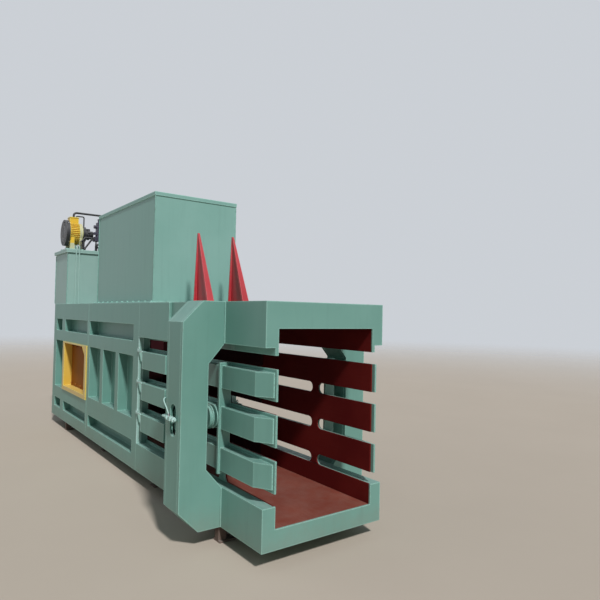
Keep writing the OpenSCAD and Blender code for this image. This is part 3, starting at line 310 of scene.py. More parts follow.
class Shader(Graph):
    """One material under construction, around its Principled shader."""

    def __init__(self, name: str) -> None:
        """Starts a material.

        Args:
            name: The material's name.
        """
        self.material = bpy.data.materials.new(name)
        self.material.use_nodes = True
        super().__init__(self.material.node_tree)
        self.surface = self.tree.nodes["Principled BSDF"]

    def place(self, group: bpy.types.NodeTree, **values: float) -> bpy.types.Node:
        """Places a shared group, with underscores for the spaces in its inputs' names."""
        inputs = {key.replace("_", " "): value for key, value in values.items()}
        return self.add("ShaderNodeGroup", inputs, node_tree=group)

    def mix(self, mask: Socket, first: object, second: object) -> Socket:
        """Mixes two colours or sockets by a mask, which shows the second where it is 1."""
        ends = [end if isinstance(end, Socket) else (*end, 1.0) for end in (first, second)]
        return self._between("RGBA", mask, *ends)

    def blend(self, mask: Socket, first: object, second: object) -> Socket:
        """Blends two numbers or sockets by a mask, which gives the second where it is 1."""
        return self._between("VALUE", mask, first, second)

    def _between(self, kind: str, mask: Socket, first: object, second: object) -> Socket:
        """Adds a mix node.

        Args:
            kind: The sockets' type, RGBA or VALUE.
            mask: The mask's socket.
            first: A value or a socket, where the mask is 0.
            second: A value or a socket, where the mask is 1.

        Returns:
            The result's socket.
        """
        data_type = "RGBA" if kind == "RGBA" else "FLOAT"
        node = self.add("ShaderNodeMix", {"Factor": mask}, data_type=data_type)
        for key, value in (("A", first), ("B", second)):
            self.feed(value, next(s for s in node.inputs if s.name == key and s.type == kind))
        return next(s for s in node.outputs if s.type == kind)

    def share(self, mask: Socket, factor: float) -> Socket:
        """Returns a mask's socket, scaled by a factor."""
        return self.math("MULTIPLY", mask, factor, clamp=True)

    def into(self, value: object, name: str) -> None:
        """Links or sets one of the surface's inputs."""
        self.feed(value, self.surface.inputs[name])

    def bump(self, height: Socket, strength: float, distance: float, normal: Socket) -> Socket:
        """Returns a normal bumped by a height, with a distance in metres."""
        node = self.add("ShaderNodeBump", {
            "Strength": strength, "Distance": distance, "Height": height, "Normal": normal})
        return node.outputs["Normal"]


class Axis(Enum):
    """The three axes of the shared frame."""

    X = "X"
    Y = "Y"
    Z = "Z"


@dataclass(frozen=True)
class TrimAndHighlight:
    """A second colour on one side of some planes: a second paint, such as a motor's end shield and
    feet, or a painted highlight, such as the window frame's lip.
    """

    colour: Colour
    beyond: tuple[tuple[Axis, float, bool], ...]

    def mask(self, shader: Shader) -> Socket:
        """Builds the mask of the second paint or the painted highlight.

        Args:
            shader: The material under construction.

        Returns:
            A socket that is 1 where the second colour lies.
        """
        group = NodeGroup("TrimAndHighlightMask")
        split = group.add("ShaderNodeSeparateXYZ", {0: group.object_place()})
        total: object = 0.0
        for axis, limit, above in self.beyond:
            side = "GREATER_THAN" if above else "LESS_THAN"
            test = group.math(side, split.outputs[axis.value], limit)
            total = group.math("MAXIMUM", test, total)
        group.give(total, "Mask")
        return shader.place(group.tree).outputs["Mask"]


@dataclass(frozen=True)
class Finish:
    """A finish of the press. Each kind lays itself in its own way."""

    name: str
    colour: Colour
    faded: Colour

    def build(self, effects: SharedEffects) -> bpy.types.Material:
        """Builds the material.

        Args:
            effects: The shared node groups.

        Returns:
            The finished material.
        """
        shader = Shader(self.name)
        self.lay(shader, effects)
        return shader.material

    def lay(self, shader: Shader, effects: SharedEffects) -> None:
        """Lays the finish on a material under construction."""
        raise NotImplementedError


@dataclass(frozen=True)
class Enamel(Finish):
    """Brushed-on machine enamel over steel."""

    worn: Colour
    roughness: float = 0.42
    coat: float = 0.15
    chips: float = 0.5
    dust: float = 0.55
    splash: float = 0.55
    streaks: float = 0.25
    # How strongly edges are lightened: a painted highlight.
    painted_highlight: float = 0.70
    dirt: Colour = (0.24, 0.21, 0.17)
    sheen: float = 0.5
    trim: TrimAndHighlight | None = None

    def lay(self, shader: Shader, effects: SharedEffects) -> None:
        """Lays drifting, streaked paint with a painted highlight along its edges, dust, splashes
        and chips.

        Args:
            shader: The material under construction.
            effects: The shared node groups.
        """
        tone = shader.place(effects.tone)
        edges = shader.place(effects.edges, Amount=self.chips)
        dust = shader.place(effects.dust, Amount=self.dust)
        paint = shader.mix(tone.outputs["Tone"], self.colour, self.faded)
        streaks = shader.share(tone.outputs["Streaks"], self.streaks)
        paint = shader.mix(streaks, paint, tinted(self.colour, STREAK_TINT))
        # A second colour on one side of some planes: a second paint, or a painted highlight as on
        # the window frame's lip.
        if self.trim is not None:
            paint = shader.mix(self.trim.mask(shader), paint, self.trim.colour)
        # Painted highlight: edges are lightened towards a paler tint, standing in for light
        # catching them.
        painted_highlight = shader.share(edges.outputs["Edge"], self.painted_highlight)
        paint = shader.mix(painted_highlight, paint, tinted(self.faded, PAINTED_HIGHLIGHT_TINT))
        paint = shader.mix(dust.outputs["Dust"], paint, tinted(self.faded, DUST_TINT))
        splash = shader.share(dust.outputs["Splash"], self.splash)
        paint = shader.mix(splash, paint, self.dirt)
        paint = shader.mix(edges.outputs["Chip"], paint, self.worn)
        shader.into(paint, "Base Color")
        faded_roughness = self.roughness + FADED_ROUGHER
        rough = shader.blend(tone.outputs["Tone"], self.roughness, faded_roughness)
        rough = shader.blend(dust.outputs["Dust"], rough, DUST_ROUGHNESS)
        shader.into(shader.blend(splash, rough, DIRT_ROUGHNESS), "Roughness")
        rounded = edges.outputs["Rounded Normal"]
        normal = shader.bump(tone.outputs["Peel"], strength=0.22, distance=0.0006, normal=rounded)
        shader.into(normal, "Normal")
        shader.into(self.sheen, "Specular IOR Level")
        shader.into(self.coat, "Coat Weight")
        shader.into(COAT_ROUGHNESS, "Coat Roughness")


@dataclass(frozen=True)
class WearPlate(Finish):
    """Painted wear plate, rubbed along the press by bales."""

    bare: Colour = (0.30, 0.26, 0.24)
    scuffs: float = 0.45
    dust: float = 0.3
    sheen: float = 0.35
    roughness: float = 0.55
    rubbed: float = 0.36

    def lay(self, shader: Shader, effects: SharedEffects) -> None:
        """Lays paint that is rubbed through along the press, with dust and chips.

        Args:
            shader: The material under construction.
            effects: The shared node groups.
        """
        tone = shader.place(effects.tone, Patch_Scale=2.4)
        edges = shader.place(effects.edges, Amount=0.7)
        scuffs = shader.place(effects.scuffs, Amount=self.scuffs)
        dust = shader.place(effects.dust, Amount=self.dust, Splash_Height=0.02)
        paint = shader.mix(tone.outputs["Tone"], self.colour, self.faded)
        paint = shader.mix(scuffs.outputs["Scuff"], paint, self.bare)
        paint = shader.mix(dust.outputs["Dust"], paint, LAID_DUST)
        paint = shader.mix(edges.outputs["Chip"], paint, self.bare)
        shader.into(paint, "Base Color")
        rough = shader.blend(scuffs.outputs["Scuff"], self.roughness, self.rubbed)
        shader.into(rough, "Roughness")
        rounded = edges.outputs["Rounded Normal"]
        groove = scuffs.outputs["Groove"]
        normal = shader.bump(groove, strength=0.25, distance=0.0006, normal=rounded)
        shader.into(normal, "Normal")
        shader.into(self.sheen, "Specular IOR Level")


@dataclass(frozen=True)
class BareMetal(Finish):
    """Ground or turned steel without paint."""

    roughness: float = 0.3
    scuffed_rougher: float = 0.2

    def lay(self, shader: Shader, effects: SharedEffects) -> None:
        """Lays bare metal with stains and fine marks.

        Args:
            shader: The material under construction.
            effects: The shared node groups.
        """
        tone = shader.place(effects.tone, Patch_Scale=14.0)
        edges = shader.place(effects.edges, Amount=0.2)
        scuffs = shader.place(effects.scuffs, Amount=0.6)
        metal = shader.mix(tone.outputs["Tone"], self.colour, self.faded)
        shader.into(metal, "Base Color")
        scuffed = self.roughness + self.scuffed_rougher
        rough = shader.blend(scuffs.outputs["Scuff"], self.roughness, scuffed)
        shader.into(rough, "Roughness")
        rounded = edges.outputs["Rounded Normal"]
        normal = shader.bump(tone.outputs["Peel"], strength=0.12, distance=0.0003, normal=rounded)
        shader.into(normal, "Normal")
        shader.into(1.0, "Metallic")


STEEL: Colour = (0.33, 0.30, 0.27)
RUST: Colour = (0.22, 0.10, 0.05)

# Nodes with a finish of their own: the fittings and the tank carry painted light, the chamber's
# liners painted shade.
GUIDES = ("wire_guide_left", "wire_guide_right", "squeeze_lines")
TANK = ("oil_tank", "tank_lid", "tank_pipes")
CHAMBER = ("wall_liner_left", "wall_liner_right")

# Sizes in metres: the motor's end shield and feet, and the window frame's lip, where a highlight is
# painted.
SHIELD_DEPTH = 0.048
MOTOR_FEET_HEIGHT = 0.072
LIP_HIGHLIGHT_DEPTH = 0.004


class Palette:
    """Every finish of the press, by the record's slot names and by node."""

    def __init__(self) -> None:
        """Builds the shared groups and every material."""
        effects = SharedEffects()
        self.by_slot = {slot: finish.build(effects) for slot, finish in self._slots().items()}
        self.by_node = {}
        for nodes, finish in self._nodes():
            self.by_node.update(dict.fromkeys(nodes, finish.build(effects)))

    @staticmethod
    def _slots() -> dict[str, Finish]:
        """Lists the finish of each slot in the record.

        Returns:
            The finishes by slot.
        """
        return {
            "green_paint": Enamel(
                "SeaGreenEnamel", (0.135, 0.300, 0.250), (0.165, 0.340, 0.288), RUST, chips=0.30),
            "red_liner": WearPlate(
                "MaroonWearPlate", (0.116, 0.008, 0.008), (0.152, 0.013, 0.011),
                bare=(0.17, 0.035, 0.028), scuffs=0.20, dust=0.08, sheen=0.12),
            "floor_paint": WearPlate(
                "RedBrownFloor", (0.205, 0.045, 0.028), (0.26, 0.066, 0.042),
                bare=(0.33, 0.17, 0.12), scuffs=0.25, dust=0.16),
            # Painted shade: the ram's red oxide is darkened to near black so the chamber reads as
            # shade through the slots.
            "ram_paint": WearPlate(
                "RamRedOxidePaintedShade", (0.030, 0.005, 0.007), (0.044, 0.008, 0.010),
                bare=(0.07, 0.034, 0.030), scuffs=0.3, dust=0.05, sheen=0.15),
            # Painted shade: the feet's primer is darkened far below its brown so they sink into the
            # shade under the press.
            "foot_paint": Enamel(
                "FootPrimerPaintedShade", (0.060, 0.024, 0.018), (0.085, 0.036, 0.026), STEEL,
                roughness=0.7, coat=0.0),
            "horn_paint": Enamel(
                "HornRed", (0.42, 0.018, 0.028), (0.50, 0.035, 0.045), STEEL,
                roughness=0.38, painted_highlight=0.45),
            "yellow_paint": Enamel(
                "SignalYellow", (0.80, 0.50, 0.030), (0.86, 0.58, 0.05), STEEL, roughness=0.35),
            "cover_paint": Enamel(
                "OchreCover", (0.24, 0.072, 0.004), (0.30, 0.095, 0.006), RUST,
                roughness=0.5, dust=0.05, painted_highlight=0.25, coat=0.0, sheen=0.12),
            "machined_steel": BareMetal(
                "MachinedSteel", (0.52, 0.52, 0.52), (0.36, 0.33, 0.30)),
            "rod_chrome": BareMetal(
                "HardChrome", (0.72, 0.73, 0.75), (0.66, 0.67, 0.70), roughness=0.12),
            "black_paint": Enamel(
                "BlackEnamel", (0.018, 0.018, 0.020), (0.030, 0.030, 0.032), STEEL, chips=0.2),
            "valve_paint": Enamel(
                "ValvePaint", (0.030, 0.026, 0.050), (0.050, 0.044, 0.075), STEEL, chips=0.3),
            "cap_plastic": Enamel(
                "CapPlastic", (0.015, 0.015, 0.016), (0.03, 0.03, 0.03), (0.05, 0.05, 0.05),
                chips=0.0),
        }

    @staticmethod
    def _nodes() -> list[tuple[tuple[str, ...], Finish]]:
        """Lists the finishes that single nodes have instead of their slot's.

        Returns:
            Groups of nodes, each with its finish.
        """
        shield = TrimAndHighlight((0.56, 0.56, 0.36), (
            (Axis.Y, node_high("motor").y - SHIELD_DEPTH, True),
            (Axis.Z, node_low("motor").z + MOTOR_FEET_HEIGHT, False)))
        # Painted highlight: the frame's outer lip gets a pale cream, standing in for light catching
        # it.
        lip = TrimAndHighlight((0.70, 0.50, 0.17), (
            (Axis.Y, node_low("window_frame").y + LIP_HIGHLIGHT_DEPTH, False),))
        return [
            # Painted shade: the chamber's side liners get a near-black copy of the maroon wear
            # plate, so the inside reads as shade through the slots; the scuffs on them are wear.
            (CHAMBER, WearPlate(
                "ChamberWearPlatePaintedShade", (0.035, 0.006, 0.007), (0.050, 0.010, 0.010),
                bare=(0.10, 0.05, 0.045), scuffs=0.3, dust=0.05, sheen=0.2)),
            # Painted light: the tank and the hopper get paler copies of the green paint, standing
            # in for the stronger light that falls on them.
            (TANK, Enamel(
                "TankEnamelPaintedLight", (0.270, 0.425, 0.380), (0.305, 0.460, 0.415), RUST, chips=0.30)),
            (("hopper",), Enamel(
                "HopperEnamelPaintedLight", (0.205, 0.395, 0.340), (0.235, 0.430, 0.375), RUST, chips=0.25)),
            # Painted light: the wire guides and the squeeze hoses get a paler copy of the green
            # paint, standing in for light catching these thin parts.
            (GUIDES, Enamel(
                "FittingsPaintedLight", (0.290, 0.470, 0.415), (0.330, 0.520, 0.460), RUST, chips=0.2)),
            (("motor",), Enamel(
                "MotorYellow", (0.82, 0.50, 0.030), (0.86, 0.57, 0.05), STEEL,
                roughness=0.35, trim=shield)),
            (("window_frame",), Enamel(
                "WindowYellow", (0.66, 0.42, 0.045), (0.72, 0.48, 0.08), RUST,
                roughness=0.4, trim=lip)),
        ]

    def dress_nodes(self) -> None:
        """Gives every CAD node its own finish, or that of its slot in the record."""
        for part in frame["record"]["subparts"]:
            node = frame["nodes"][part["node"]]
            material = self.by_node.get(part["node"], self.by_slot[part["material_slot"]])
            if not node.material_slots:
                node.data.materials.append(material)
            for slot in node.material_slots:
                slot.material = material
            LOG.info("dressed %s as %s", part["node"], material.name)


def spot(x: float, y: float, z: float) -> Vector:
    """Returns the point at millimetres from the middle of the outlet, over the chamber's floor."""
    outlet, floor = node_high("mouth_trough").x, node_high("floor_liner").z
    return Vector((outlet + x / 1000.0, y / 1000.0, floor + z / 1000.0))


def circle_points(centre: Vector, across: Vector, upward: Vector, radius: float,
                  sides: int) -> Line:
    """Returns evenly spaced points on a circle, from across towards upward."""
    turns = [2.0 * math.pi * index / sides for index in range(sides)]
    return [centre + (across * math.cos(turn) + upward * math.sin(turn)) * radius for turn in turns]


def add_piece(name: str, mesh: bpy.types.Mesh, body: Body) -> bpy.types.Object:
    """Adds a piece that rides on a body.

    Args:
        name: The piece's name.
        mesh: The piece's mesh, with its material.
        body: The body that it rides on.

    Returns:
        The piece.
    """
    piece = bpy.data.objects.new(name, mesh)
    bpy.context.scene.collection.objects.link(piece)
    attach(piece, body.value)
    LOG.info("made %s with %d faces", name, len(mesh.polygons))
    return piece


class Draft:
    """A mesh under construction from closed forms."""

    def __init__(self) -> None:
        """Starts an empty mesh."""
        self.work = bmesh.new()

    def loft(self, rings: list[Line]) -> None:
        """Adds one closed form through rings of equal length, capped at both ends.

        Args:
            rings: The rings, from one end to the other.
        """
        rows = [[self.work.verts.new(point) for point in ring] for ring in rings]
        count = len(rows[0])
        for low, high in zip(rows, rows[1:]):
            for index in range(count):
                after = (index + 1) % count
                self.work.faces.new((low[index], low[after], high[after], high[index]))
        self.work.faces.new(list(reversed(rows[0])))
        self.work.faces.new(rows[-1])

    def bar(self, low: Vector, high: Vector, trim: float = 0.0) -> None:
        """Adds a bar along the axes, its ends drawn in a little.

        Args:
            low: The lowest corner.
            high: The highest corner.
            trim: The width of the chamfer round both ends.
        """
        rings = []
        for z, inset in ((low.z, trim), (low.z + trim, 0.0), (high.z - trim, 0.0), (high.z, trim)):
            x0, x1, y0, y1 = low.x + inset, high.x - inset, low.y + inset, high.y - inset
            corners = ((x0, y0), (x1, y0), (x1, y1), (x0, y1))
            rings.append([Vector((x, y, z)) for x, y in corners])
        self.loft(rings if trim > 0.0 else [rings[0], rings[-1]])

    def turned(self, seat: Vector, axis: Vector, profile: list[tuple[float, float]],
               sides: int = 24) -> None:
        """Adds a turned form.

        Args:
            seat: Where the axis starts.
            axis: The axis's direction.
            profile: Distances along the axis and radii, in millimetres.
            sides: The number of sides.
        """
        along = axis.normalized()
        across = along.orthogonal().normalized()
        upward = along.cross(across)
        rings = []
        for reach, radius in profile:
            centre = seat + along * reach / 1000.0
            rings.append(circle_points(centre, across, upward, radius / 1000.0, sides))
        self.loft(rings)

    def tube(self, path: Line, radius: float, sides: int = 12) -> None:
        """Adds a smooth closed tube.

        Args:
            path: The corners that the tube rounds.
            radius: The radius in metres.
            sides: The number of sides.
        """
        points = smooth_path(path, steps=8)
        rings = []
        across = (points[1] - points[0]).orthogonal().normalized()
        for index, point in enumerate(points):
            after = points[min(index + 1, len(points) - 1)]
            ahead = (after - points[max(index - 1, 0)]).normalized()
            across = (across - ahead * across.dot(ahead)).normalized()
            rings.append(circle_points(point, across, ahead.cross(across), radius, sides))
        self.loft(rings)

    def finish(self, name: str, palette: Palette, slot: str, body: Body,
               smooth: bool = False) -> bpy.types.Object:
        """Turns the draft into a piece that rides on a body.

        Args:
            name: The piece's name.
            palette: The finishes.
            slot: The finish's slot in the record.
            body: The body that it rides on.
            smooth: Whether its faces are shaded smooth.

        Returns:
            The piece.
        """
        bmesh.ops.recalc_face_normals(self.work, faces=self.work.faces)
        mesh = bpy.data.meshes.new(name)
        self.work.to_mesh(mesh)
        self.work.free()
        if smooth:
            mesh.polygons.foreach_set("use_smooth", [True] * len(mesh.polygons))
            mesh.set_sharp_from_angle(angle=SHARP_TURN)
        mesh.materials.append(palette.by_slot[slot])
        return add_piece(name, mesh, body)


def smooth_path(corners: Line, steps: int) -> Line:
    """Rounds a row of corners with a Catmull-Rom curve.

    Args:
        corners: The corners.
        steps: Points between two corners.

    Returns:
        The points of the rounded path.
    """
    ends = [corners[0] * 2.0 - corners[1], *corners, corners[-1] * 2.0 - corners[-2]]
    points = []
    for index in range(1, len(ends) - 2):
        before, start, stop, after = ends[index - 1:index + 3]
        for step in range(steps):
            t = step / steps
            square = (2.0 * before - 5.0 * start + 4.0 * stop - after) * t * t
            cube = (3.0 * start - before - 3.0 * stop + after) * t * t * t
            points.append(0.5 * (2.0 * start + (stop - before) * t + square + cube))
    points.append(corners[-1].copy())
    return points


class Repeater(Graph):
    """A Geometry Nodes tree for pieces that repeat, applied to plain meshes of points or edges."""

    def __init__(self, name: str, palette: Palette) -> None:
        """Starts a tree with a geometry, a size and a material input.

        Args:
            name: The tree's name.
            palette: The finishes.
        """
        super().__init__(bpy.data.node_groups.new(name, "GeometryNodeTree"))
        self.palette = palette
        face = self.tree.interface
        face.new_socket("Geometry", in_out="INPUT", socket_type="NodeSocketGeometry")
        size = face.new_socket("Size", in_out="INPUT", socket_type="NodeSocketFloat")
        finish = face.new_socket("Finish", in_out="INPUT", socket_type="NodeSocketMaterial")
        self.size, self.finish = size.identifier, finish.identifier
        face.new_socket("Geometry", in_out="OUTPUT", socket_type="NodeSocketGeometry")
        self.source = self.add("NodeGroupInput")
        self.sink = self.add("NodeGroupOutput")

    def times(self, value: Socket, factor: object) -> Socket:
        """Returns a socket's value times a factor, which may be a socket too."""
        return self.math("MULTIPLY", value, factor)

    def close(self, geometry: Socket) -> None:
        """Realizes the instances, sets the finish and ends the tree.

        Args:
            geometry: The socket with the instances.
        """
        real = self.add("GeometryNodeRealizeInstances", {"Geometry": geometry})
        done = self.add("GeometryNodeSetMaterial", {
            "Geometry": real.outputs[0], "Material": self.source.outputs["Finish"]})
        self.feed(done.outputs[0], self.sink.inputs[0])

    def apply(self, name: str, mesh: bpy.types.Mesh, size: float, slot: str, body: Body) -> None:
        """Makes one piece from a plain mesh.

        Args:
            name: The piece's name.
            mesh: The points or edges.
            size: The repeat's size in metres.
            slot: The finish's slot in the record.
            body: The body that it rides on.
        """
        seed = bpy.data.objects.new(name, mesh)
        bpy.context.scene.collection.objects.link(seed)
        modifier = seed.modifiers.new("Repeat", "NODES")
        modifier.node_group = self.tree
        modifier[self.size] = size
        modifier[self.finish] = self.palette.by_slot[slot]
        graph = bpy.context.evaluated_depsgraph_get()
        solid = bpy.data.meshes.new_from_object(seed.evaluated_get(graph))
        bpy.data.objects.remove(seed)
        work = bmesh.new()
        work.from_mesh(solid)
        bmesh.ops.recalc_face_normals(work, faces=work.faces)
        work.to_mesh(solid)
        work.free()
        solid.name = name
        add_piece(name, solid, body)


class HexBolts(Repeater):
    """Hexagon heads with washers, set on points that carry an axis."""

    # Sides, and each part's radius, height and lift above the seat as shares of the head's radius.
    WASHER_SIDES, HEAD_SIDES = 18, 6
    WASHER_RADIUS, WASHER_HEIGHT, WASHER_LIFT = 1.25, 0.28, 0.12
    HEAD_HEIGHT, HEAD_LIFT = 0.90, 0.62
    CROWN_RADIUS, CROWN_HEIGHT, CROWN_LIFT = 0.78, 0.16, 1.07

    def __init__(self, palette: Palette) -> None:
        """Builds the head, the washer and the instancing, sized by the head's radius.

        Args:
            palette: The finishes.
        """
        super().__init__("HexBolts", palette)
        size = self.source.outputs["Size"]
        washer = self.add("GeometryNodeMeshCylinder", {
            "Vertices": self.WASHER_SIDES, "Radius": self.times(size, self.WASHER_RADIUS),
            "Depth": self.times(size, self.WASHER_HEIGHT)})
        head = self.add("GeometryNodeMeshCylinder", {
            "Vertices": self.HEAD_SIDES, "Radius": size,
            "Depth": self.times(size, self.HEAD_HEIGHT)})
        crown = self.add("GeometryNodeMeshCone", {
            "Vertices": self.HEAD_SIDES, "Radius Top": self.times(size, self.CROWN_RADIUS),
            "Radius Bottom": size, "Depth": self.times(size, self.CROWN_HEIGHT)})
        joined = self.add("GeometryNodeJoinGeometry")
        for node, lift in ((washer, self.WASHER_LIFT), (head, self.HEAD_LIFT),
                           (crown, self.CROWN_LIFT)):
            shift = self.add("ShaderNodeCombineXYZ", {"Z": self.times(size, lift)})
            moved = self.add("GeometryNodeTransform", {
                "Geometry": node.outputs[0], "Translation": shift.outputs[0]})
            self.feed(moved.outputs[0], joined.inputs[0])
        axis = self.add("GeometryNodeInputNamedAttribute", {"Name": "axis"},
                        data_type="FLOAT_VECTOR")
        turn = self.add("FunctionNodeAlignRotationToVector", {"Vector": axis.outputs[0]}, axis="Z")
        placed = self.add("GeometryNodeInstanceOnPoints", {
            "Points": self.source.outputs["Geometry"], "Instance": joined.outputs[0],
            "Rotation": turn.outputs[0]})
        self.close(placed.outputs[0])

    def place(self, name: str, seats: Seats, size: float, slot: str, body: Body) -> None:
        """Sets bolts on their seats.

        Args:
            name: The piece's name.
            seats: Each bolt's seat and outward axis.
            size: The head's radius in metres.
            slot: The bolts' slot in the record.
            body: The body that they ride on.
        """
        mesh = bpy.data.meshes.new(name)
        mesh.from_pydata([tuple(seat) for seat, _ in seats], [], [])
        store = mesh.attributes.new("axis", "FLOAT_VECTOR", "POINT")
        for index, (_, axis) in enumerate(seats):
            store.data[index].vector = axis
        self.apply(name, mesh, size, slot, body)


class WeldBeads(Repeater):
    """Rippled fillet beads that follow edges."""

    # Ripples for each pitch, the noise's scale, and shares of the bead's radius.
    RIPPLES = 0.93
    WOBBLE_SCALE = 21.0
    RIPPLE_HEIGHT = 0.16
    THINNEST = 0.5

    def __init__(self, palette: Palette, pitch: float) -> None:
        """Builds the sweep.

        Args:
            palette: The finishes.
            pitch: The distance between two ripples in metres.
        """
        super().__init__("WeldBeads", palette)
        size = self.source.outputs["Size"]
        line = self.add("GeometryNodeMeshToCurve", {"Mesh": self.source.outputs["Geometry"]})
        fine = self.add("GeometryNodeResampleCurve", {
            "Curve": line.outputs[0], "Length": pitch / 2.0}, mode="LENGTH")
        along = self.add("GeometryNodeSplineParameter")
        waves = self.times(along.outputs["Length"], 2.0 * math.pi / pitch * self.RIPPLES)
        wobble = self.add("ShaderNodeTexNoise", {"Scale": self.WOBBLE_SCALE}).outputs[0]
        ripple = self.math("MULTIPLY_ADD", self.math("SINE", waves), self.RIPPLE_HEIGHT, wobble)
        radius = self.times(self.math("ADD", ripple, self.THINNEST), size)
        ring = self.add("GeometryNodeCurvePrimitiveCircle", {"Resolution": 6, "Radius": 1.0})
        swept = self.add("GeometryNodeCurveToMesh", {
            "Curve": fine.outputs[0], "Profile Curve": ring.outputs[0],
            "Scale": radius, "Fill Caps": True})
        self.close(swept.outputs[0])

    def follow(self, name: str, lines: list[Line], size: float, slot: str, body: Body) -> None:
        """Lays beads along lines.

        Args:
            name: The piece's name.
            lines: Each line's corners.
            size: The bead's radius in metres.
            slot: The beads' slot in the record.
            body: The body that they ride on.
        """
        points: Line = []
        edges: list[tuple[int, int]] = []
        for line in lines:
            start = len(points)
            points.extend(line)
            edges.extend((start + index, start + index + 1) for index in range(len(line) - 1))
        mesh = bpy.data.meshes.new(name)
        mesh.from_pydata([tuple(point) for point in points], edges, [])
        self.apply(name, mesh, size, slot, body)


def frame_line(x0: float, x1: float, y: float, z0: float, z1: float) -> Line:
    """Returns a closed rectangle of corners on a side wall, in world metres, from millimetres."""
    corners = ((x0, z0), (x1, z0), (x1, z1), (x0, z1), (x0, z0))
    return [spot(x, y, z) for x, z in corners]


# Places on the press in millimetres, counted as spot() counts them: faces and skins of the squeeze
# frame, its hood and trough, the fields between the ribs of the side walls, the rear end, the
# window's corner, and the squeeze hoses. A profile holds distances along its axis and radii.
PORTAL_FACES = (-478.0, -708.0)
PORTAL_SKIN = 467.0
HOOD_HEIGHTS = (1041.0, 1308.0)
TROUGH_HEIGHTS = (-118.0, 128.0)
HOOD_REAR = -1331.0
HOOD_REAR_SKIN = 484.0
WEB_SKIN = 396.5
WEB_GAP = 2.0
RIB_FIELDS = (
    (-4950.0, -4654.0, 2.0, 118.0), (-4503.0, -3538.0, 2.0, 118.0),
    (-4950.0, -4654.0, 975.0, 1121.0), (-4503.0, -3538.0, 975.0, 1121.0),
    (-3419.0, -2074.0, 2.0, 118.0), (-3442.0, -2094.0, 975.0, 1121.0))
TALL_BAY = (-3419.0, -3034.0, 307.0, 845.0)
TALL_BAY_STEP = 475.0
TALL_BAYS = 3
CYLINDER_FLANGE = -5115.5
REAR_PLATE = -5080.0
REAR_BOLT_SKIN = 440.0
REAR_BOLT_HEIGHTS = (-60.0, 1250.0)
LID_TOP = 1998.0
WINDOW_CORNER = (-3561.0, 0.0, 832.0)
HOSE_ROUTE = (
    (-612.0, 771.0, 586.0), (-640.0, 778.0, 634.0), (-690.0, 776.0, 678.0),
    (-716.0, 740.0, 686.0), (-722.0, 640.0, 670.0), (-722.0, 575.0, 662.0))
FERRULE_SEAT = (-612.0, 771.0, 578.0)
FERRULE_AXIS = Vector((-0.3, 0.0, 1.0))
FERRULE_PROFILE = [(0.0, 8.5), (9.0, 8.5), (9.5, 6.8), (24.0, 6.8), (26.0, 5.2)]
GAUGE_PROFILE = [(0.0, 6.0), (2.0, 7.0), (148.0, 7.0), (150.0, 6.0)]


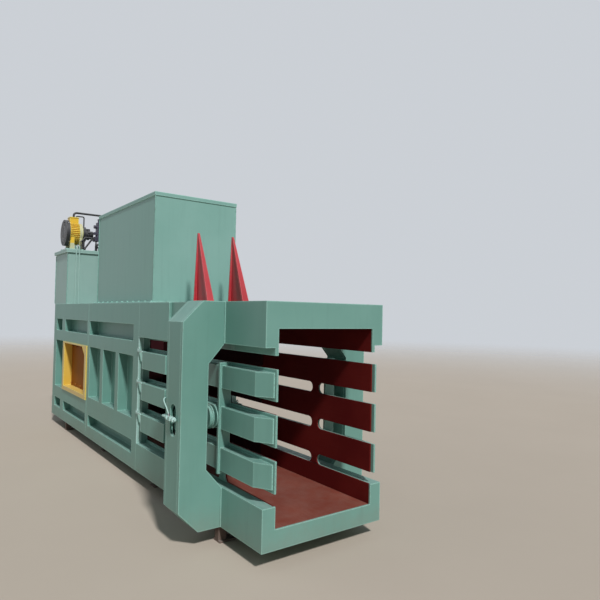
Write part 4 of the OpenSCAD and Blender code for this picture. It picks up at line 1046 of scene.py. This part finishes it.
@dataclass
class BodyWelds:
    """Weld seams of the press's fixed plates."""

    welds: WeldBeads
    portal_size: float = 0.0062
    recess_size: float = 0.0045
    roof_size: float = 0.0050
    cylinder_size: float = 0.0055
    cylinder_rise: float = 0.001
    cylinder_cap: float = 0.0465
    hopper_flange: float = 0.040
    hopper_rim: float = 0.034
    hopper_half_width: float = 0.395
    hopper_skin: float = 0.3965
    tank_rim: float = 0.045
    foot: float = 0.010

    def build(self) -> None:
        """Lays the seams of the squeeze frame, recesses, hopper, tank and main cylinder."""
        for name, lines, size in (
                ("portal_welds", self._portal(), self.portal_size),
                ("recess_welds", self._recesses(), self.recess_size),
                ("roof_welds", self._roof(), self.roof_size),
                ("cylinder_welds", self._cylinder(), self.cylinder_size)):
            self.welds.follow(name, lines, size, "green_paint", Body.PRESS)

    @staticmethod
    def _portal() -> list[Line]:
        """Finds where the hood and the trough meet the squeeze frame.

        Returns:
            The seams' lines.
        """
        lines = []
        base, top = HOOD_HEIGHTS
        for side in Side:
            y = side.value * PORTAL_SKIN
            for x in PORTAL_FACES:
                for heights in (HOOD_HEIGHTS, TROUGH_HEIGHTS):
                    lines.append([spot(x, y, z) for z in heights])
            y_top = side.value * HOOD_REAR_SKIN
            lines.append([spot(HOOD_REAR, y, base), spot(HOOD_REAR, y_top, top)])
        return lines

    @staticmethod
    def _recesses() -> list[Line]:
        """Goes round the webs of the ribbed walls.

        Returns:
            The seams' lines.
        """
        start, stop, low, high = TALL_BAY
        shifts = [TALL_BAY_STEP * index for index in range(TALL_BAYS)]
        bays = [(start + shift, stop + shift, low, high) for shift in shifts]
        lines = []
        for side in Side:
            y = side.value * WEB_SKIN
            for x0, x1, z0, z1 in (*RIB_FIELDS, *bays):
                lines.append(frame_line(x0 + WEB_GAP, x1 - WEB_GAP, y, z0 + WEB_GAP, z1 - WEB_GAP))
        return lines

    def _cylinder(self) -> list[Line]:
        """Goes round the main cylinder at its end cap and at its flange.

        Returns:
            The seams' lines.
        """
        low, high = node_low("cylinder_gland"), node_high("cylinder_gland")
        radius = (high.z - low.z) / 2.0 + self.cylinder_rise
        cap = node_low("main_cylinder").x + self.cylinder_cap
        flange = spot(CYLINDER_FLANGE, 0.0, 0.0).x
        lines = []
        for x in (cap, flange):
            centre = Vector((x, 0.0, (high.z + low.z) / 2.0))
            points = circle_points(centre, FROM_WINDOW, UP, radius, sides=64)
            lines.append([*points, points[0]])
        return lines

    def _roof(self) -> list[Line]:
        """Finds the hopper's seams and the tank's corners.

        Returns:
            The seams' lines.
        """
        lines = []
        low, high = node_low("hopper"), node_high("hopper")
        ends = (low.x + self.hopper_flange, high.x - self.hopper_flange)
        base, top = low.z + self.foot, high.z - self.hopper_rim
        for side in Side:
            y = side.value * self.hopper_skin
            lines.append([Vector((x, y, base)) for x in ends])
            for x in ends:
                lines.append([Vector((x, y, z)) for z in (base, top)])
        for x in ends:
            ys = (-self.hopper_half_width, self.hopper_half_width)
            lines.append([Vector((x, y, base)) for y in ys])
        low, high = node_low("oil_tank"), node_high("oil_tank")
        base, top = low.z + self.foot, high.z - self.tank_rim
        for x in (low.x, high.x):
            for y in (low.y, high.y):
                lines.append([Vector((x, y, z)) for z in (base, top)])
        return lines


@dataclass
class Fasteners:
    """Bolts of the hopper's flange, tank lid, window cover, fan cowl and rear plate."""

    bolts: HexBolts
    hopper_size: float = 0.0100
    lid_size: float = 0.0080
    cover_size: float = 0.0090
    cowl_size: float = 0.0055
    rear_size: float = 0.0130
    hopper_inset: float = 0.018
    hopper_corner: float = 0.16
    flange_thickness: float = 0.008
    lid_inset: float = 0.012
    cover_end: float = 0.05
    cover_edge: float = 0.035
    cowl_inset: float = 0.008

    def build(self) -> None:
        """Sets every group of bolts."""
        for name, seats, size, slot in (
                ("hopper_bolts", self._hopper(), self.hopper_size, "green_paint"),
                ("lid_bolts", self._lid(), self.lid_size, "green_paint"),
                ("cover_bolts", self._cover(), self.cover_size, "cover_paint"),
                ("cowl_screws", self._cowl(), self.cowl_size, "machined_steel"),
                ("rear_bolts", self._rear(), self.rear_size, "green_paint")):
            self.bolts.place(name, seats, size, slot, Body.PRESS)

    @staticmethod
    def _row(start: Vector, stop: Vector, count: int, axis: Vector) -> Seats:
        """Returns evenly spaced seats between two points, both included."""
        return [(start.lerp(stop, index / (count - 1)), axis) for index in range(count)]

    def _hopper(self) -> Seats:
        """Spaces bolts on the hopper's foot flange.

        Returns:
            The seats with their outward axes.
        """
        low, high = node_low("hopper"), node_high("hopper")
        inset = self.hopper_inset
        x0, x1, z = low.x + inset, high.x - inset, low.z + self.flange_thickness
        seats = []
        for y in (low.y + inset, high.y - inset):
            seats += self._row(Vector((x0, y, z)), Vector((x1, y, z)), count=12, axis=UP)
        y0, y1 = low.y + self.hopper_corner, high.y - self.hopper_corner
        for x in (x0, x1):
            seats += self._row(Vector((x, y0, z)), Vector((x, y1, z)), count=5, axis=UP)
        return seats

    def _lid(self) -> Seats:
        """Spaces bolts along both ends of the tank's lid.

        Returns:
            The seats with their outward axes.
        """
        low, high = node_low("oil_tank"), node_high("oil_tank")
        inset = self.lid_inset
        y0, y1, z = low.y + inset, high.y - inset, spot(0.0, 0.0, LID_TOP).z
        seats = []
        for x in (low.x + inset, high.x - inset):
            seats += self._row(Vector((x, y0, z)), Vector((x, y1, z)), count=7, axis=UP)
        return seats

    def _cover(self) -> Seats:
        """Spaces bolts along the cover plate inside the window.

        Returns:
            The seats with their outward axes.
        """
        low, high = node_low("window_cover"), node_high("window_cover")
        x0, x1, y = low.x + self.cover_end, high.x - self.cover_end, low.y
        seats = []
        for z in (low.z + self.cover_edge, high.z - self.cover_edge):
            seats += self._row(Vector((x0, y, z)), Vector((x1, y, z)), count=5, axis=TO_WINDOW)
        return seats

    def _cowl(self) -> Seats:
        """Spaces screws round the fan cowl.

        Returns:
            The seats with their outward axes.
        """
        low, high = node_low("motor_cowl"), node_high("motor_cowl")
        centre = (low + high) / 2.0
        centre.y = high.y - self.cowl_inset
        radius = (high.x - low.x) / 2.0
        seats = []
        for index in range(4):
            turn = math.radians(45.0 + 90.0 * index)
            axis = Vector((math.cos(turn), 0.0, math.sin(turn)))
            seats.append((centre + axis * radius, axis))
        return seats

    def _rear(self) -> Seats:
        """Spaces bolts along both edges of the rear plate.

        Returns:
            The seats with their outward axes.
        """
        seats = []
        for y in (-REAR_BOLT_SKIN, REAR_BOLT_SKIN):
            start, stop = (spot(REAR_PLATE, y, z) for z in REAR_BOLT_HEIGHTS)
            seats += self._row(start, stop, count=8, axis=TO_REAR)
        return seats


@dataclass
class WindowDress:
    """Slanted corner plate of the side window, welded behind the frame's lip."""

    palette: Palette
    across: float = 0.130
    down: float = 0.105
    front: float = 0.0005
    back: float = 0.010

    def build(self) -> None:
        """Makes the plate in the opening's upper corner towards the outlet."""
        lip = node_low("window_frame").y
        corner = spot(*WINDOW_CORNER)
        outline = ((0.0, -self.down), (0.0, 0.0), (-self.across, 0.0))
        draft = Draft()
        draft.loft([[Vector((corner.x + x, y, corner.z + z)) for x, z in outline]
                    for y in (lip + self.front, lip + self.back)])
        draft.finish("window_corner", self.palette, "yellow_paint", Body.PRESS)


@dataclass
class TankGauge:
    """Level gauge and drain plug on the oil tank's rear."""

    palette: Palette
    bolts: HexBolts
    height: float = 0.24
    half_width: float = 0.018
    reach: float = 0.012
    screw_inset: float = 0.020
    place: tuple[float, float] = (0.24, 0.09)
    plug_place: tuple[float, float] = (-0.22, 0.06)
    screw_size: float = 0.0075
    plug_size: float = 0.0150
    chamfer: float = 0.003
    tube_gap: float = 0.001
    tube_rise: float = 0.045

    def build(self) -> None:
        """Makes the gauge's backing, its tube and its fasteners."""
        low = node_low("oil_tank")
        face, y, z = low.x - self.reach, self.place[0], low.z + self.place[1]
        backing = Draft()
        backing.bar(Vector((face, y - self.half_width, z)),
                    Vector((low.x, y + self.half_width, z + self.height)), self.chamfer)
        backing.finish("gauge_backing", self.palette, "machined_steel", Body.PRESS)
        tube = Draft()
        seat = Vector((face - self.tube_gap, y, z + self.tube_rise))
        tube.turned(seat, UP, GAUGE_PROFILE, sides=16)
        tube.finish("gauge_tube", self.palette, "yellow_paint", Body.PRESS, smooth=True)
        screws = [(Vector((face, y, z + rise)), TO_REAR)
                  for rise in (self.screw_inset, self.height - self.screw_inset)]
        plug = [(Vector((low.x, self.plug_place[0], low.z + self.plug_place[1])), TO_REAR)]
        for name, seats, size in (("gauge_screws", screws, self.screw_size),
                                  ("drain_plug", plug, self.plug_size)):
            self.bolts.place(name, seats, size, "machined_steel", Body.PRESS)


@dataclass
class FanGrille:
    """Wire rings and spokes over the fan cowl's open end."""

    palette: Palette
    wire: float = 0.0022
    inset: float = 0.010
    rings: int = 9
    spokes: int = 6
    hub_share: float = 0.2
    first_share: float = 0.22
    step_share: float = 0.0975
    first_spoke: float = 30.0
    sides: int = 48

    def build(self) -> None:
        """Makes the wire guard just inside the cowl's front."""
        low, high = node_low("motor_cowl"), node_high("motor_cowl")
        centre = (low + high) / 2.0
        centre.y = low.y + self.wire
        outer = (high.x - low.x) / 2.0 - self.inset
        draft = Draft()
        for step in range(self.rings):
            self._ring(draft, centre, outer * (self.first_share + self.step_share * step))
        hub = centre + FROM_WINDOW * self.wire
        length = outer * (1.0 - self.hub_share) * 1000.0
        thickness = self.wire * 1000.0
        for index in range(self.spokes):
            turn = math.radians(self.first_spoke + 360.0 / self.spokes * index)
            axis = Vector((math.cos(turn), 0.0, math.sin(turn)))
            seat = hub + axis * outer * self.hub_share
            draft.turned(seat, axis, [(0.0, thickness), (length, thickness)], sides=8)
        draft.finish("fan_grille", self.palette, "machined_steel", Body.PRESS, smooth=True)

    def _ring(self, draft: Draft, centre: Vector, radius: float) -> None:
        """Adds one closed wire ring.

        Args:
            draft: The mesh under construction.
            centre: The ring's centre.
            radius: The ring's radius in metres.
        """
        rows = []
        for index in range(self.sides + 1):
            turn = 2.0 * math.pi * index / self.sides
            out = Vector((math.cos(turn), 0.0, math.sin(turn)))
            rows.append(circle_points(centre + out * radius, out, FROM_WINDOW, self.wire, sides=6))
        draft.loft(rows)


@dataclass
class SqueezeHoses:
    """Thin hoses with crimped ends beside the squeeze cylinders' access holes."""

    palette: Palette
    radius: float = 0.0042

    def build(self) -> None:
        """Makes the hose and its ends on both sides."""
        for side in Side:
            label = side.name.lower()
            hose = Draft()
            hose.tube([spot(x, side.value * y, z) for x, y, z in HOSE_ROUTE], self.radius, sides=10)
            made = hose.finish(
                f"squeeze_hose_{label}", self.palette, "green_paint", Body.PRESS, smooth=True)
            # The hose takes the fittings' paler copy of the green paint, which is painted light.
            made.data.materials[0] = self.palette.by_node["squeeze_lines"]
            ends = Draft()
            x, y, z = FERRULE_SEAT
            ends.turned(spot(x, side.value * y, z), FERRULE_AXIS, FERRULE_PROFILE, sides=6)
            ends.finish(f"squeeze_ferrule_{label}", self.palette, "machined_steel", Body.PRESS)


# The stage: the directions to the two lamps, the world's light and backdrop, and the ground.
TO_KEY = Vector((0.67, -0.17, 0.72))
TO_FILL = Vector((-0.45, -0.60, 0.66))
SKY_LIGHT = (0.72, 0.88, 1.0, 1.0)
BACKDROP = (0.60, 0.63, 0.67, 1.0)
CONCRETE: Colour = (0.47, 0.40, 0.33)
PALE_CONCRETE: Colour = (0.53, 0.455, 0.378)
CONCRETE_ROUGHNESS = 0.9


@dataclass
class Studio:
    """Camera, lamps and floor."""

    eye: Vector = field(default_factory=lambda: Vector((5.2567, -2.1413, 1.4638)))
    yaw: float = 143.310
    pitch: float = 1.5645
    roll: float = 1.152
    lens: float = 32.256
    sensor: float = 36.0
    far_clip: float = 300.0
    floor_size: float = 120.0

    def place_camera(self) -> None:
        """Makes the camera that matches the photograph and sets it as the scene's."""
        yaw = math.radians(self.yaw)
        pitch = math.radians(self.pitch)
        roll = math.radians(self.roll)
        level = math.cos(pitch)
        ahead = Vector((level * math.cos(yaw), level * math.sin(yaw), math.sin(pitch)))
        right = ahead.cross(UP).normalized()
        above = right.cross(ahead)
        across = right * math.cos(roll) + above * math.sin(roll)
        upward = -right * math.sin(roll) + above * math.cos(roll)
        data = bpy.data.cameras.new("PhotoCamera")
        data.lens = self.lens
        data.sensor_width = self.sensor
        data.clip_end = self.far_clip
        camera = bpy.data.objects.new("PhotoCamera", data)
        bpy.context.scene.collection.objects.link(camera)
        turn = Matrix((across, upward, -ahead)).transposed().to_4x4()
        camera.matrix_world = Matrix.Translation(self.eye) @ turn
        bpy.context.scene.camera = camera

    def place_lamps(self) -> None:
        """Makes a soft key from the outlet's side, a weak fill and the pale world."""
        self._sun("Key", TO_KEY, strength=3.0, spread=5.0)
        self._sun("Fill", TO_FILL, strength=0.18, spread=50.0)
        world = bpy.data.worlds.new("PaleWorld")
        bpy.context.scene.world = world
        world.use_nodes = True
        graph = Graph(world.node_tree)
        graph.tree.nodes.clear()
        light = graph.add("ShaderNodeBackground", {"Color": SKY_LIGHT, "Strength": 0.20})
        seen = graph.add("ShaderNodeBackground", {"Color": BACKDROP, "Strength": 1.0})
        path = graph.add("ShaderNodeLightPath")
        shown = path.outputs["Is Camera Ray"]
        for ray in ("Is Glossy Ray", "Is Transmission Ray"):
            shown = graph.math("MAXIMUM", shown, path.outputs[ray])
        mix = graph.add("ShaderNodeMixShader", {
            "Fac": shown, 1: light.outputs[0], 2: seen.outputs[0]})
        graph.add("ShaderNodeOutputWorld", {"Surface": mix.outputs[0]})

    @staticmethod
    def _sun(name: str, toward: Vector, strength: float, spread: float) -> None:
        """Adds one soft sun lamp.

        Args:
            name: The lamp's name.
            toward: The direction from the press to the lamp.
            strength: The lamp's strength.
            spread: The lamp's angular size in degrees.
        """
        data = bpy.data.lights.new(name, "SUN")
        data.energy = strength
        data.angle = math.radians(spread)
        lamp = bpy.data.objects.new(name, data)
        bpy.context.scene.collection.objects.link(lamp)
        lamp.rotation_euler = toward.to_track_quat("Z", "Y").to_euler()

    def place_floor(self) -> None:
        """Makes the pale ground, which fades out into the world far from the press."""
        half = self.floor_size / 2.0
        mesh = bpy.data.meshes.new("Floor")
        corners = [(x * half, y * half, 0.0) for x, y in ((-1, -1), (1, -1), (1, 1), (-1, 1))]
        mesh.from_pydata(corners, [], [(0, 1, 2, 3)])
        floor = bpy.data.objects.new("Floor", mesh)
        bpy.context.scene.collection.objects.link(floor)
        shader = Shader("PaleConcrete")
        group = NodeGroup("ConcreteTone")
        place = group.object_place()
        group.give(group.noise(place, scale=0.5, detail=6.0, rough=0.6), "Tone")
        reach = group.add("ShaderNodeVectorMath", {0: place}, operation="LENGTH")
        far = group.ramp(reach.outputs["Value"], low=6.0, high=30.0)
        group.give(group.math("SUBTRACT", 1.0, far), "Near")
        tone = shader.place(group.tree)
        colour = shader.mix(tone.outputs["Tone"], CONCRETE, PALE_CONCRETE)
        shader.into(colour, "Base Color")
        shader.into(tone.outputs["Near"], "Alpha")
        shader.into(CONCRETE_ROUGHNESS, "Roughness")
        mesh.materials.append(shader.material)

    def build(self) -> None:
        """Builds the whole stage, the camera first."""
        self.place_camera()
        self.place_lamps()
        self.place_floor()
        bpy.context.scene.view_settings.view_transform = "Standard"
        LOG.info("stage is set")


def main() -> None:
    """Builds the stage, the finishes and every piece, in order."""
    logging.basicConfig(level=logging.INFO, format="%(message)s")
    Studio().build()
    palette = Palette()
    palette.dress_nodes()
    bolts = HexBolts(palette)
    BodyWelds(WeldBeads(palette, pitch=0.010)).build()
    Fasteners(bolts).build()
    WindowDress(palette).build()
    TankGauge(palette, bolts).build()
    FanGrille(palette).build()
    SqueezeHoses(palette).build()


if __name__ == "__main__":
    main()
